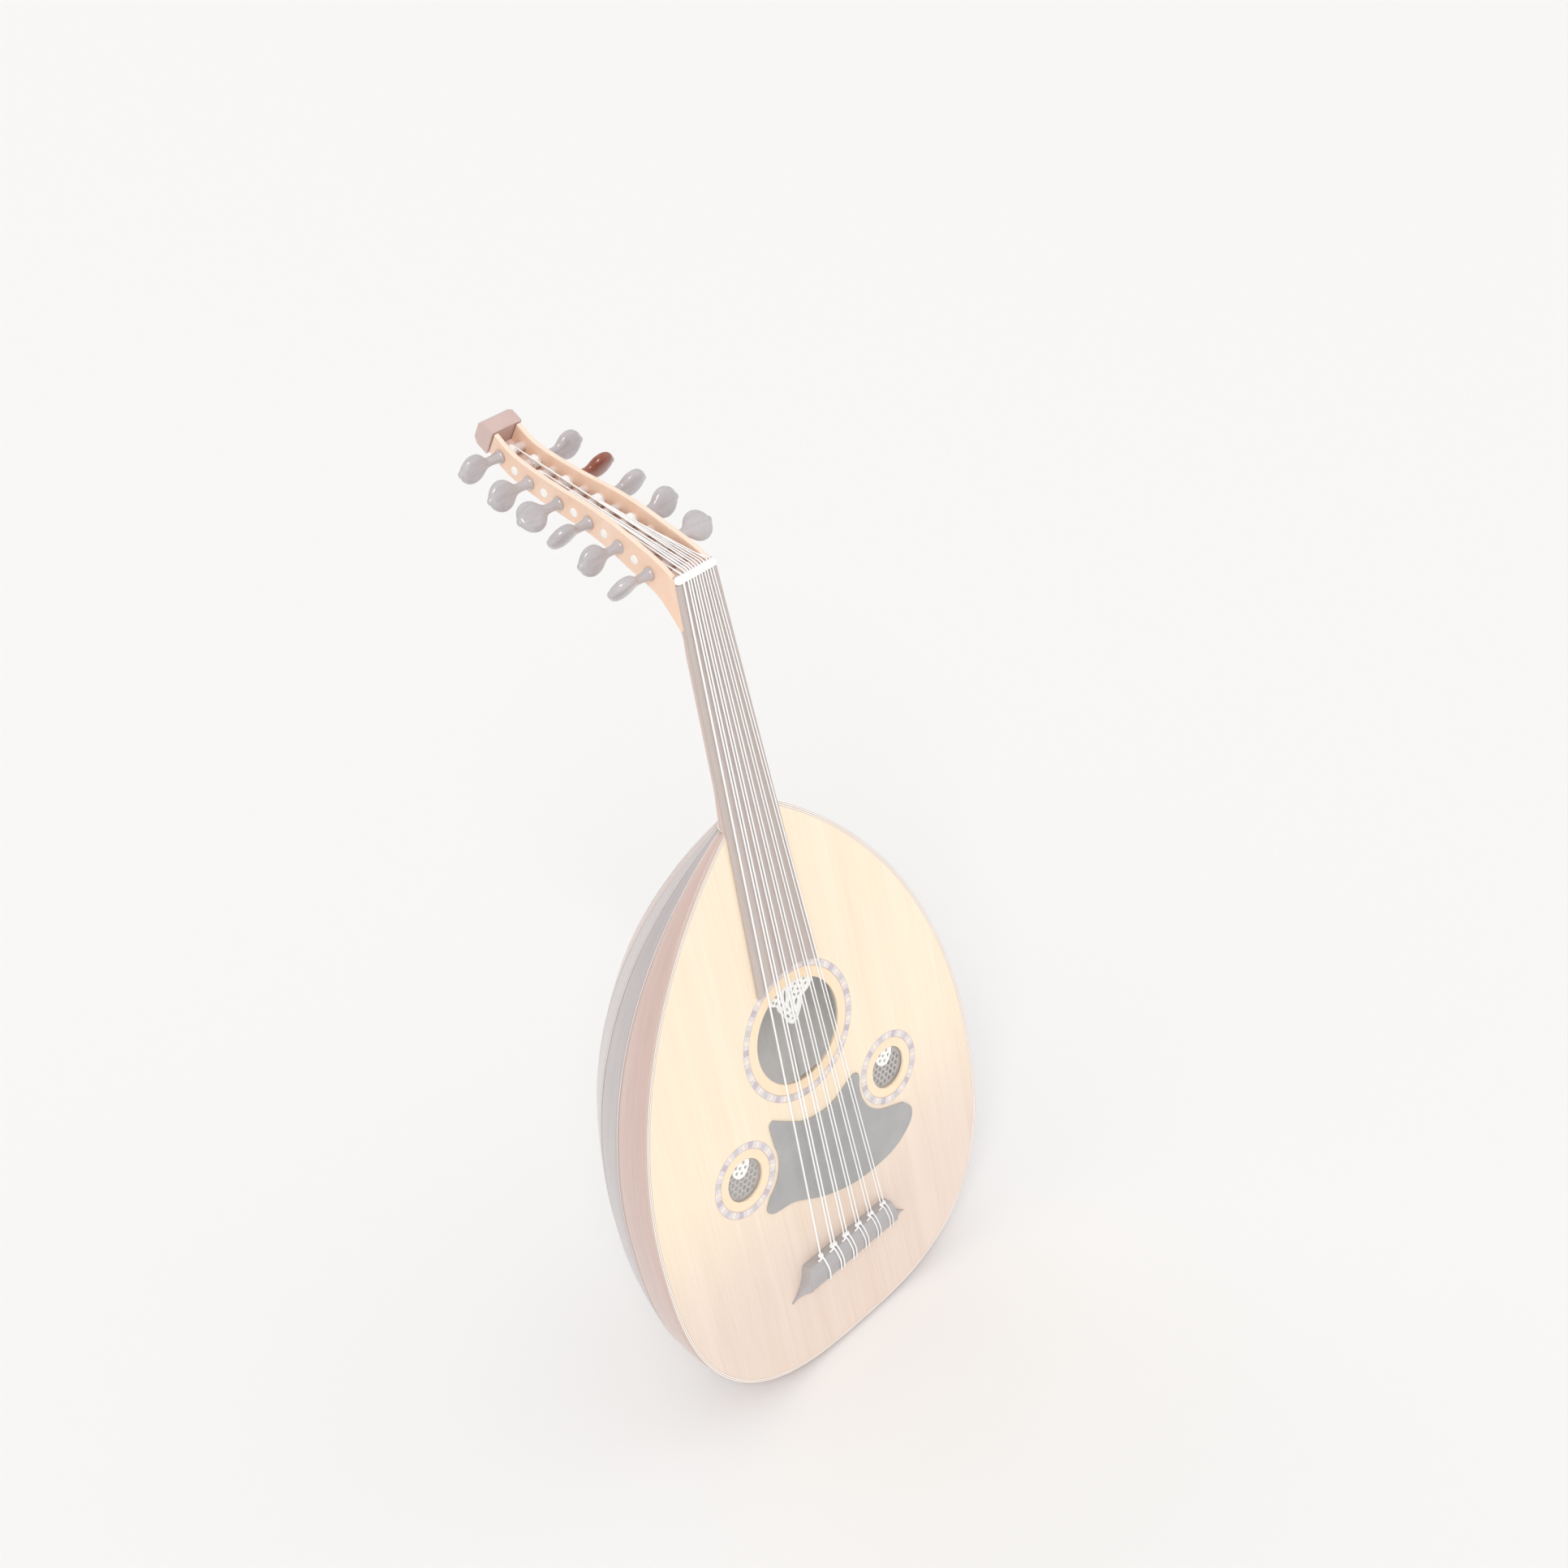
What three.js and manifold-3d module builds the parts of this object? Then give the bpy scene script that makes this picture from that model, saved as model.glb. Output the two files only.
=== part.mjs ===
// A Turkish oud: eleven strings, staved bowl, bent-back pegbox.
// Millimetres. While it is being built, the origin is the centre of the large soundhole on the front
// of the soundboard: +X is to the right of someone who looks at the strings, +Y goes into the bowl
// and +Z goes up the neck. At the end the group moves so that the neck cradle point is the origin.

import * as THREE from 'three';
import Module from 'manifold-3d';

const wasm = await Module();
wasm.setup();

const lerp = THREE.MathUtils.lerp;

const GAP = 0.3; // clearance between glued or seated pieces

// Face and bowl
const FACE_HALF_WIDTH = 172;
const WIDEST_Z = -105; // height of the widest line, from the large soundhole
const TAIL_DROP = 186; // from the widest line down to the tail
const TAIL_FULLNESS = 2.75; // exponent of the tail curve, 2 would be an ellipse
const JOINT_Z = 188; // where the neck meets the body
const JOINT_HALF_WIDTH = 25.5;
const FACE_THICKNESS = 2.2;
const BINDING_WIDTH = 3;
const BOWL_DEPTH_RATIO = 0.94; // depth of a bowl section over its half-width
const BOWL_NECK_FLATTENING = 0.2; // how much shallower the sections are at the neck
const BOWL_FLATTENING_REACH = 40;
const RIB_COUNT = 13;
const RIB_THICKNESS = 3;
const RIB_END_RADIUS = 10; // the ribs stop this far from the tail's centre
const TAIL_BLOCK_HALF_WIDTH = 60;
const TAIL_BLOCK_THICKNESS = 16;
const TAIL_BLOCK_DEPTH = 40;
const NECK_BLOCK_LENGTH = 38;
const CLASP_HALF_WIDTH = 95;
const CLASP_DEPTH = 26;
const CLASP_THICKNESS = 1.5;
const BRACE_FROM_NECK_BLOCK = 30; // between the centre line of the first brace and the block
const BRACE_SHARE_BELOW_HOLE = 0.487; // of the way from the main rosette's rim to the small ones
const BRACE_ABOVE_HOLE = 15.5;
const MIDDLE_BRACE_Z = -130;
const BRACE_FROM_TAIL_BLOCK = 22;
const BRACE_THICKNESS = 6;
const BRACE_DEPTH = 14;
const BRACE_END_DEPTH = 4;

// Soundholes, inlays and rosettes
const HOLE_RADIUS = 42.5;
const BAND_WIDTH = 8.5; // plain wood between the hole and its mosaic ring
const RING_WIDTH = 5.7;
const SMALL_HOLE_RADIUS = 17.5;
const SMALL_BAND_WIDTH = 7.5;
const SMALL_RING_WIDTH = 6;
const SMALL_HOLE_X = 80.3;
const SMALL_HOLE_Z = -87.5;
const INLAY_DEPTH = 0.8;
const ROSETTE_THICKNESS = 1.5;
const ROSETTE_LAP = 4; // how far a rosette reaches behind the face

// Pickguard
const GUARD_THICKNESS = 1.2;
const GUARD_RING_CLEARANCE = 3.3; // from the small mosaic rings

// Neck, fingerboard and nut
const NUT_Z = 377.5;
const NUT_LENGTH = 6;
const NUT_SIDE_OVERHANG = 0.3; // beyond the fingerboard
const NUT_RISE = 1.8; // above the fingerboard
const NECK_DEPTH_AT_BODY = 20;
const NECK_DEPTH_AT_NUT = 19;
const NECK_ROUNDNESS = 1.5; // exponent of the neck's section
const NECK_SET_BACK = 2.2; // how far the neck's front has tilted back at the nut
const BOARD_TOP_AT_HOLE = 3.0; // fingerboard's height over the face at its lower end
const BOARD_TOP_AT_NUT = 0.8;
const BOARD_HALF_WIDTH_AT_NUT = 18.2;
const BOARD_TAPER = 0.0395; // half-width gained per millimetre towards the bridge
const BOARD_RING_CLEARANCE = 0.8;

// Bridge
const BRIDGE_FRONT_Z = -197;
const BRIDGE_LENGTH_Z = 22;
const BRIDGE_END_MARGIN = 3.8; // from the outermost string to the end of the front edge
const BRIDGE_WHISKER = 19.5; // how much further its tips reach
const BRIDGE_FRONT_RISE = 3; // heights above the string holes
const BRIDGE_RIDGE_RISE = 5.5;
const BRIDGE_BACK_RISE = 1.5;
const BRIDGE_RIDGE_SETBACK = 9;
const BRIDGE_TIP_HEIGHT = 3;

// Strings: the single bass on the left, then five pairs
const STRING_RADII = [0.6, 0.55, 0.5, 0.45, 0.4, 0.4];
const STRING_HEIGHT_AT_BRIDGE = 6.5;
const BASS_X_AT_BRIDGE = -32.5;
const COURSE_STEP_AT_BRIDGE = 14.5;
const PAIR_STEP_AT_BRIDGE = 3.4;
const BASS_CHEEK_CLEARANCE = 0.7; // between the bass string's line at the nut and the cheek's inside
const SPREAD_SHIFT_AT_NUT = 1; // how much nearer the middle the last pair is
const PAIR_STEP_AT_NUT = 2.4;
const STRING_BEND = 1.6;
const WINDING_THICKNESS = 1.5; // turns of string already on a peg
const STRING_HOLE_CLEARANCE = 0.35;

// Pegbox: its spine bends back from the nut in an S
const PEGBOX_REACH = 180; // from the face back to the spine's end
const PEGBOX_RISE = 104; // from the spine's start up to its end
const PEGBOX_START_DROP = 27.5; // how far below the nut's lower edge the spine starts
const PEGBOX_SPINE = [
  [-0.03, 0], [0.075, 0.24], [0.235, 0.405], [0.435, 0.565], [0.705, 0.715], [0.9, 0.855], [1, 1],
];
const PEGBOX_HALF_DEPTH = 12.5;
const PEGBOX_TIP_HALF_DEPTH = 9.5;
const PEGBOX_SIDE_INSET = 0.2; // from the fingerboard's edge at the nut to the pegbox's side
const PEGBOX_TIP_HALF_WIDTH = 12;
const CHEEK_THICKNESS = 3.8;
const FLOOR_THICKNESS = 3.2;
const ROOT_LENGTH = 37; // of the spine that is solid, next to the neck
const ROOT_RISE = 4; // how far the root reaches above the nut's lower edge
const SEAM_FRONT_Y = 2.5;
const SEAM_BACK_Y = 22;
const SEAM_DROP = 41.5; // how far below the nut's lower edge the seam ends at the neck's back
const HEAD_BLOCK_SIDE_OVERHANG = 1.5;
const HEAD_BLOCK_LENGTH = 15;
const HEAD_BLOCK_OVERHANG = 1.5;
const HEAD_BLOCK_CHAMFER = 4;

// Pegs, counted from the nut: the even ones have their heads on the left
const PEG_COUNT = 11;
const PEG_FIRST = 46; // along the spine, from its start
const PEG_LAST_MARGIN = 11.345; // from the last one to the spine's end, and they are evenly spaced
const PEG_SETBACK = 1.2; // towards the floor of the pegbox
const PEG_RADIUS = 4.2;
const PEG_END_RADIUS = 3.3;
const PEG_PROUD = 0.5;
const PEG_WAIST_RADIUS = 3.1;
const PEG_HEAD_DISTANCE = 24.5; // from the cheek to the middle of the head
const PEG_HEAD_RADIUS = 11.5;
const PEG_HEAD_THICKNESS = 7.6;
const PEG_TURNS = [50, -35, 15, 5, 55, 52, -35, 40, -15, 20, 10]; // degrees about X at rest
const STRING_CHEEK_CLEARANCE = 2.8; // at the first peg, from the string's line to the cheek
const STRING_X_AT_LAST_PEG = 0.9;

// Where a stand's cradle holds the neck
const CRADLE_DROP = 57.5; // below the nut's lower edge

// Sizes that follow from the ones above
const RING_INNER = HOLE_RADIUS + BAND_WIDTH;
const RING_OUTER = RING_INNER + RING_WIDTH;
const SMALL_RING_INNER = SMALL_HOLE_RADIUS + SMALL_BAND_WIDTH;
const SMALL_RING_OUTER = SMALL_RING_INNER + SMALL_RING_WIDTH;
const TAIL_Z = WIDEST_Z - TAIL_DROP;
const RIM_Y = FACE_THICKNESS + GAP; // front edge of the bowl
const TAIL_BLOCK_TOP_Z = TAIL_Z + RIB_THICKNESS + TAIL_BLOCK_THICKNESS;
const BRACE_HEIGHTS = [
  JOINT_Z - NECK_BLOCK_LENGTH - BRACE_FROM_NECK_BLOCK,
  HOLE_RADIUS + ROSETTE_LAP + BRACE_ABOVE_HOLE,
  lerp(-HOLE_RADIUS - ROSETTE_LAP, SMALL_HOLE_Z + SMALL_HOLE_RADIUS + ROSETTE_LAP, BRACE_SHARE_BELOW_HOLE),
  MIDDLE_BRACE_Z,
  TAIL_BLOCK_TOP_Z + BRACE_FROM_TAIL_BLOCK,
];
const NUT_HALF_WIDTH = BOARD_HALF_WIDTH_AT_NUT + NUT_SIDE_OVERHANG;
const BRIDGE_HALF_FRONT =
  BASS_X_AT_BRIDGE + 5 * COURSE_STEP_AT_BRIDGE + PAIR_STEP_AT_BRIDGE / 2 + BRIDGE_END_MARGIN;
const BRIDGE_HALF_BACK = BRIDGE_HALF_FRONT + BRIDGE_WHISKER;
const BRIDGE_FRONT_HEIGHT = STRING_HEIGHT_AT_BRIDGE + BRIDGE_FRONT_RISE;
const BRIDGE_RIDGE_HEIGHT = STRING_HEIGHT_AT_BRIDGE + BRIDGE_RIDGE_RISE;
const BRIDGE_BACK_HEIGHT = STRING_HEIGHT_AT_BRIDGE + BRIDGE_BACK_RISE;
const PEGBOX_START_Z = NUT_Z - PEGBOX_START_DROP;
const PEGBOX_HALF_WIDTH = BOARD_HALF_WIDTH_AT_NUT - PEGBOX_SIDE_INSET;
const CHANNEL_HALF_WIDTH = PEGBOX_HALF_WIDTH - CHEEK_THICKNESS;
const ROOT_TOP_Z = NUT_Z + ROOT_RISE;
const SEAM_BACK_Z = NUT_Z - SEAM_DROP;
const HEAD_BLOCK_HALF_WIDTH = PEGBOX_TIP_HALF_WIDTH + HEAD_BLOCK_SIDE_OVERHANG;
const BASS_X_AT_NUT = BASS_CHEEK_CLEARANCE - CHANNEL_HALF_WIDTH;
const COURSE_STEP_AT_NUT = (-2 * BASS_X_AT_NUT - SPREAD_SHIFT_AT_NUT) / 5;
const STRING_X_AT_FIRST_PEG = CHANNEL_HALF_WIDTH - STRING_CHEEK_CLEARANCE;
const CRADLE_Z = NUT_Z - CRADLE_DROP;

const FACE_SEGMENTS = 18;
const CIRCLE_SEGMENTS = 20;
const PEG_SEGMENTS = 12;

// ---------------------------------------------------------------- helpers

const vec2 = (x, y) => new THREE.Vector2(x, y);
const vec3 = (x, y, z) => new THREE.Vector3(x, y, z);
const radians = THREE.MathUtils.degToRad;

// A manifold solid from a closed three.js geometry
function solidOf(geometry) {
  const position = geometry.getAttribute('position');
  const index = geometry.getIndex();
  const seen = new Map();
  const vertices = [];
  const triangles = [];
  const count = index ? index.count : position.count;
  for (let i = 0; i < count; i += 3) {
    const corners = [0, 1, 2].map((k) => {
      const at = index ? index.getX(i + k) : i + k;
      const p = [position.getX(at), position.getY(at), position.getZ(at)];
      const key = p.map((v) => Math.round(v * 1e4)).join();
      if (!seen.has(key)) {
        seen.set(key, seen.size);
        vertices.push(...p);
      }
      return seen.get(key);
    });
    if (new Set(corners).size === 3) triangles.push(...corners);
  }
  return new wasm.Manifold(new wasm.Mesh({
    numProp: 3,
    vertProperties: new Float32Array(vertices),
    triVerts: new Uint32Array(triangles),
  }));
}

function geometryOf(solid) {
  const mesh = solid.getMesh();
  const geometry = new THREE.BufferGeometry();
  geometry.setAttribute('position', new THREE.BufferAttribute(new Float32Array(mesh.vertProperties), 3));
  geometry.setIndex(new THREE.BufferAttribute(new Uint32Array(mesh.triVerts), 1));
  return geometry;
}

function signedVolume(positions, triangles) {
  const corner = (i) => vec3(...positions.slice(3 * i, 3 * i + 3));
  let volume = 0;
  for (let t = 0; t < triangles.length; t += 3) {
    const [a, b, c] = triangles.slice(t, t + 3).map(corner);
    volume += a.dot(b.cross(c)) / 6;
  }
  return volume;
}

// A closed solid through rings of points that all have the same count and are star-shaped
function loft(rings) {
  const n = rings[0].length;
  const positions = rings.flat().flatMap((p) => [p.x, p.y, p.z]);
  const triangles = [];
  for (let r = 0; r + 1 < rings.length; r += 1) {
    for (let i = 0; i < n; i += 1) {
      const a = r * n + i;
      const b = r * n + ((i + 1) % n);
      triangles.push(a, b, b + n, a, b + n, a + n);
    }
  }
  const last = (rings.length - 1) * n;
  for (let i = 1; i + 1 < n; i += 1) {
    triangles.push(0, i + 1, i, last, last + i, last + i + 1);
  }
  if (signedVolume(positions, triangles) < 0) triangles.reverse();
  const geometry = new THREE.BufferGeometry();
  geometry.setAttribute('position', new THREE.Float32BufferAttribute(positions, 3));
  geometry.setIndex(triangles);
  return geometry;
}

// A plate parallel to the face: the shape is in X and Z, from depth y0 to y1
function facePlate(shape, y0, y1, curveSegments = CIRCLE_SEGMENTS) {
  const geometry = new THREE.ExtrudeGeometry(shape, { depth: y1 - y0, bevelEnabled: false, curveSegments });
  return geometry.rotateX(Math.PI / 2).translate(0, y1, 0);
}

// A plate parallel to the plane of symmetry: the shape is in Y and Z, from x0 to x1
function sidePlate(shape, x0, x1) {
  const geometry = new THREE.ExtrudeGeometry(shape, { depth: x1 - x0, bevelEnabled: false });
  const turn = new THREE.Matrix4().makeBasis(vec3(0, 1, 0), vec3(0, 0, 1), vec3(1, 0, 0));
  return geometry.applyMatrix4(turn).translate(x0, 0, 0);
}

function box(x0, x1, y0, y1, z0, z1) {
  const geometry = new THREE.BoxGeometry(x1 - x0, y1 - y0, z1 - z0);
  return geometry.translate((x0 + x1) / 2, (y0 + y1) / 2, (z0 + z1) / 2);
}

const polygon = (points) => new THREE.Shape(points.map(([x, y]) => vec2(x, y)));

function circlePath(x, z, radius) {
  return new THREE.Path().absarc(x, z, radius, 0, 2 * Math.PI, true);
}

function disc(x, z, radius) {
  return new THREE.Shape().absarc(x, z, radius, 0, 2 * Math.PI, false);
}

// ---------------------------------------------------------------- face and bowl

// Half of the face's outline from the neck joint to the tail, as (half-width, Z)
function halfOutline(endHalfWidth = 0) {
  const rise = JOINT_Z - WIDEST_Z;
  const inset = FACE_HALF_WIDTH - JOINT_HALF_WIDTH;
  const flankRadius = (rise * rise + inset * inset) / (2 * inset);
  const flankAngle = Math.asin(rise / flankRadius);
  const points = [];
  for (let i = 0; i <= FACE_SEGMENTS / 2; i += 1) {
    const angle = flankAngle * (1 - (2 * i) / FACE_SEGMENTS);
    points.push(vec2(
      FACE_HALF_WIDTH - flankRadius * (1 - Math.cos(angle)),
      WIDEST_Z + flankRadius * Math.sin(angle),
    ));
  }
  const power = 2 / TAIL_FULLNESS;
  const endAngle = Math.acos((endHalfWidth / FACE_HALF_WIDTH) ** (1 / power));
  for (let i = 1; i <= FACE_SEGMENTS; i += 1) {
    const angle = (endAngle * i) / FACE_SEGMENTS;
    points.push(vec2(
      FACE_HALF_WIDTH * Math.max(Math.cos(angle), 0) ** power,
      WIDEST_Z - TAIL_DROP * Math.sin(angle) ** power,
    ));
  }
  return points;
}

function offsetInward(points, distance) {
  return points.map((p, i) => {
    const before = points[Math.max(i - 1, 0)];
    const after = points[Math.min(i + 1, points.length - 1)];
    const along = after.clone().sub(before).normalize();
    return vec2(Math.max(p.x + along.y * distance, 0), p.y - along.x * distance);
  });
}

// The whole outline as a closed shape in X and Z, a distance inside the face's edge
function faceShape(inset) {
  const half = offsetInward(halfOutline(), inset);
  const left = half.slice(0, -1).map((p) => vec2(-p.x, p.y));
  return new THREE.Shape([...left, ...half.reverse()]);
}

function depthRatio(z) {
  const flattening = BOWL_NECK_FLATTENING * Math.exp((z - JOINT_Z) / BOWL_FLATTENING_REACH);
  return BOWL_DEPTH_RATIO - flattening;
}

// A point of the bowl: angle 0 is the left edge of the face, pi is the right edge
function bowlPoint(profile, angle) {
  return vec3(
    -profile.x * Math.cos(angle),
    RIM_Y + depthRatio(profile.y) * profile.x * Math.sin(angle),
    profile.y,
  );
}

function rib(number) {
  const outer = halfOutline(RIB_END_RADIUS);
  const inner = offsetInward(outer, RIB_THICKNESS);
  inner[0].y = outer[0].y;
  const step = Math.PI / RIB_COUNT;
  return loft(outer.map((profile, i) => {
    const start = number * step + GAP / 2 / profile.x;
    const end = (number + 1) * step - GAP / 2 / profile.x;
    return [
      bowlPoint(profile, start), bowlPoint(inner[i], start),
      bowlPoint(inner[i], end), bowlPoint(profile, end),
    ];
  }));
}

// The space inside the bowl, a clearance away from its ribs
function bowlInside(clearance) {
  const profile = offsetInward(halfOutline(RIB_END_RADIUS), RIB_THICKNESS + clearance);
  return solidOf(loft(profile.map((p) => {
    const ring = [];
    for (let i = 0; i <= RIB_COUNT; i += 1) ring.push(bowlPoint(p, (Math.PI * i) / RIB_COUNT));
    return ring.reverse();
  })));
}

function edgeBinding() {
  const outer = halfOutline();
  const inner = offsetInward(outer, BINDING_WIDTH);
  inner[0].y = outer[0].y;
  const both = (points) => [
    ...points.map((p) => vec2(-p.x, p.y)),
    ...points.slice(0, -1).reverse(),
  ];
  const outside = both(outer);
  const inside = both(inner);
  return loft(outside.map((p, i) => [
    vec3(p.x, 0, p.y), vec3(inside[i].x, 0, inside[i].y),
    vec3(inside[i].x, FACE_THICKNESS, inside[i].y), vec3(p.x, FACE_THICKNESS, p.y),
  ]));
}

function ringGroove(x, z, inner, outer) {
  const shape = disc(x, z, outer + GAP);
  shape.holes.push(circlePath(x, z, inner - GAP));
  return solidOf(facePlate(shape, -1, INLAY_DEPTH + GAP));
}

function soundboard() {
  const shape = faceShape(BINDING_WIDTH + GAP);
  shape.holes.push(circlePath(0, 0, HOLE_RADIUS));
  for (const side of [-1, 1]) {
    shape.holes.push(circlePath(side * SMALL_HOLE_X, SMALL_HOLE_Z, SMALL_HOLE_RADIUS));
  }
  let board = solidOf(facePlate(shape, 0, FACE_THICKNESS));
  board = board.subtract(ringGroove(0, 0, RING_INNER, RING_OUTER));
  for (const side of [-1, 1]) {
    board = board.subtract(
      ringGroove(side * SMALL_HOLE_X, SMALL_HOLE_Z, SMALL_RING_INNER, SMALL_RING_OUTER),
    );
  }
  return geometryOf(board);
}

function mosaicRing(x, z, inner, outer) {
  const shape = disc(x, z, outer);
  shape.holes.push(circlePath(x, z, inner));
  return facePlate(shape, 0, INLAY_DEPTH);
}

// A brace under the face, cut to the inside of the bowl
function brace(z) {
  const reach = FACE_HALF_WIDTH;
  const width = offsetInward(halfOutline(), RIB_THICKNESS);
  const here = width.reduce((best, p) => (Math.abs(p.y - z) < Math.abs(best.y - z) ? p : best));
  const shoulder = here.x * 0.75;
  const profile = polygon([
    [-reach, RIM_Y], [reach, RIM_Y], [reach, RIM_Y + BRACE_END_DEPTH],
    [here.x - GAP, RIM_Y + BRACE_END_DEPTH], [shoulder, RIM_Y + BRACE_DEPTH],
    [-shoulder, RIM_Y + BRACE_DEPTH], [GAP - here.x, RIM_Y + BRACE_END_DEPTH],
    [-reach, RIM_Y + BRACE_END_DEPTH],
  ]);
  const bar = new THREE.ExtrudeGeometry(profile, { depth: BRACE_THICKNESS, bevelEnabled: false });
  bar.translate(0, 0, z - BRACE_THICKNESS / 2);
  return geometryOf(solidOf(bar).intersect(bowlInside(GAP)));
}

function neckBlock() {
  const reach = FACE_HALF_WIDTH;
  const room = box(-reach, reach, 0, reach, JOINT_Z - NECK_BLOCK_LENGTH, JOINT_Z);
  return geometryOf(bowlInside(GAP).intersect(solidOf(room)));
}

function tailBlock() {
  const reach = TAIL_BLOCK_HALF_WIDTH;
  const room = box(-reach, reach, 0, RIM_Y + TAIL_BLOCK_DEPTH, TAIL_Z, TAIL_BLOCK_TOP_Z);
  return geometryOf(bowlInside(GAP).intersect(solidOf(room)));
}

// Height of the bowl's outside near the tail, a distance from the tail's centre line
function tailHeight(distance) {
  const share = Math.min(distance / FACE_HALF_WIDTH, 1);
  return WIDEST_Z - TAIL_DROP * (1 - share ** TAIL_FULLNESS) ** (1 / TAIL_FULLNESS);
}

// The crescent strip that covers the ribs' ends at the tail
function tailClasp() {
  const across = 24;
  const rings = [];
  for (let i = 0; i <= across; i += 1) {
    const x = CLASP_HALF_WIDTH * 0.98 * ((2 * i) / across - 1);
    const depth = CLASP_DEPTH * Math.sqrt(1 - (x / CLASP_HALF_WIDTH) ** 2);
    const steps = [0, 1 / 3, 2 / 3, 1].map((share) => {
      const y = share * depth;
      const z = tailHeight(Math.hypot(x, y / BOWL_DEPTH_RATIO)) - GAP;
      return vec3(x, RIM_Y + y, z);
    });
    const below = steps.map((p) => vec3(p.x, p.y, p.z - CLASP_THICKNESS));
    rings.push([...steps, ...below.reverse()]);
  }
  return loft(rings);
}

// ---------------------------------------------------------------- rosettes and pickguard

// The pierced palmette that fills the top of the large soundhole
function mainRosette() {
  const reach = HOLE_RADIUS + ROSETTE_LAP;
  const shape = new THREE.Shape();
  shape.absarc(0, 0, reach, radians(50), radians(121), false);
  shape.splineThru([
    vec2(-0.44 * reach, 0.64 * HOLE_RADIUS), vec2(-0.22 * HOLE_RADIUS, 0.47 * HOLE_RADIUS),
    vec2(0, 0.14 * HOLE_RADIUS),
    vec2(0.25 * HOLE_RADIUS, 0.47 * HOLE_RADIUS), vec2(0.5 * reach, 0.64 * HOLE_RADIUS),
    vec2(reach * Math.cos(radians(50)), reach * Math.sin(radians(50))),
  ]);
  const pierced = [
    [-0.02, 0.27, 0.045], [-0.02, 0.45, 0.06], [-0.12, 0.62, 0.05], [0.13, 0.62, 0.06],
    [0.0, 0.8, 0.06], [-0.3, 0.72, 0.04], [-0.2, 0.83, 0.045], [0.33, 0.72, 0.045], [0.2, 0.82, 0.045],
  ];
  for (const [x, z, radius] of pierced) {
    shape.holes.push(circlePath(x * HOLE_RADIUS, z * HOLE_RADIUS, radius * HOLE_RADIUS));
  }
  return facePlate(shape, RIM_Y, RIM_Y + ROSETTE_THICKNESS, 6);
}

// The pierced shield that fills the top of a small soundhole
function smallRosette(side) {
  const reach = SMALL_HOLE_RADIUS + ROSETTE_LAP;
  const shape = new THREE.Shape();
  shape.absarc(0, 0, reach, radians(62), radians(128), false);
  shape.splineThru([
    vec2(-0.42 * SMALL_HOLE_RADIUS, 0.55 * SMALL_HOLE_RADIUS), vec2(0, 0.22 * SMALL_HOLE_RADIUS),
    vec2(0.42 * SMALL_HOLE_RADIUS, 0.55 * SMALL_HOLE_RADIUS),
    vec2(reach * Math.cos(radians(62)), reach * Math.sin(radians(62))),
  ]);
  const pierced = [[-0.3, 0.6], [0, 0.5], [0.25, 0.66], [-0.12, 0.78]];
  for (const [x, z] of pierced) {
    shape.holes.push(circlePath(x * SMALL_HOLE_RADIUS, z * SMALL_HOLE_RADIUS, 1.1));
  }
  const plate = facePlate(shape, RIM_Y, RIM_Y + ROSETTE_THICKNESS, 5);
  return plate.translate(side * SMALL_HOLE_X, 0, SMALL_HOLE_Z);
}

// The dark plate between the holes and the bridge, scooped round the three rings
function pickguard() {
  const scoop = SMALL_RING_OUTER + GUARD_RING_CLEARANCE;
  const shape = new THREE.Shape();
  shape.moveTo(-43, -56);
  shape.splineThru([vec2(-47.5, -58), vec2(-48, -66)]);
  shape.absarc(-SMALL_HOLE_X, SMALL_HOLE_Z, scoop, radians(14), radians(-58), true);
  shape.splineThru([
    vec2(-68, -126), vec2(-62, -132.5), vec2(-41, -136.5), vec2(-12, -151.5), vec2(18, -161),
    vec2(44, -163), vec2(70, -160), vec2(90, -149), vec2(95, -137), vec2(88, -127),
  ]);
  shape.absarc(SMALL_HOLE_X, SMALL_HOLE_Z, scoop, radians(-108), radians(-200), true);
  shape.splineThru([
    vec2(47, -70.5), vec2(40, -70), vec2(20, -78), vec2(5, -79.5), vec2(-14, -75.5),
    vec2(-30, -65.5), vec2(-43, -56),
  ]);
  return facePlate(shape, -GAP - GUARD_THICKNESS, -GAP, 5);
}

// ---------------------------------------------------------------- neck, fingerboard and nut

const NUT_TOP_Z = NUT_Z + NUT_LENGTH;
const BOARD_END_RADIUS = RING_OUTER + BOARD_RING_CLEARANCE;

const boardHalfWidth = (z) => BOARD_HALF_WIDTH_AT_NUT + BOARD_TAPER * (NUT_Z - z);
const neckFront = (z) => NECK_SET_BACK * Math.max((z - JOINT_Z) / (NUT_Z - JOINT_Z), 0);
const neckDepth = (z) => lerp(NECK_DEPTH_AT_BODY, NECK_DEPTH_AT_NUT, (z - JOINT_Z) / (NUT_Z - JOINT_Z));
const boardTop = (z) => -lerp(
  BOARD_TOP_AT_HOLE, BOARD_TOP_AT_NUT, (z - BOARD_END_RADIUS) / (NUT_Z - BOARD_END_RADIUS),
);

// Where the pegbox is let into the neck, as a line in Y and Z
function seamZ(y) {
  return NUT_TOP_Z + ((SEAM_BACK_Z - NUT_TOP_Z) * (y - SEAM_FRONT_Y)) / (SEAM_BACK_Y - SEAM_FRONT_Y);
}

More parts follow.
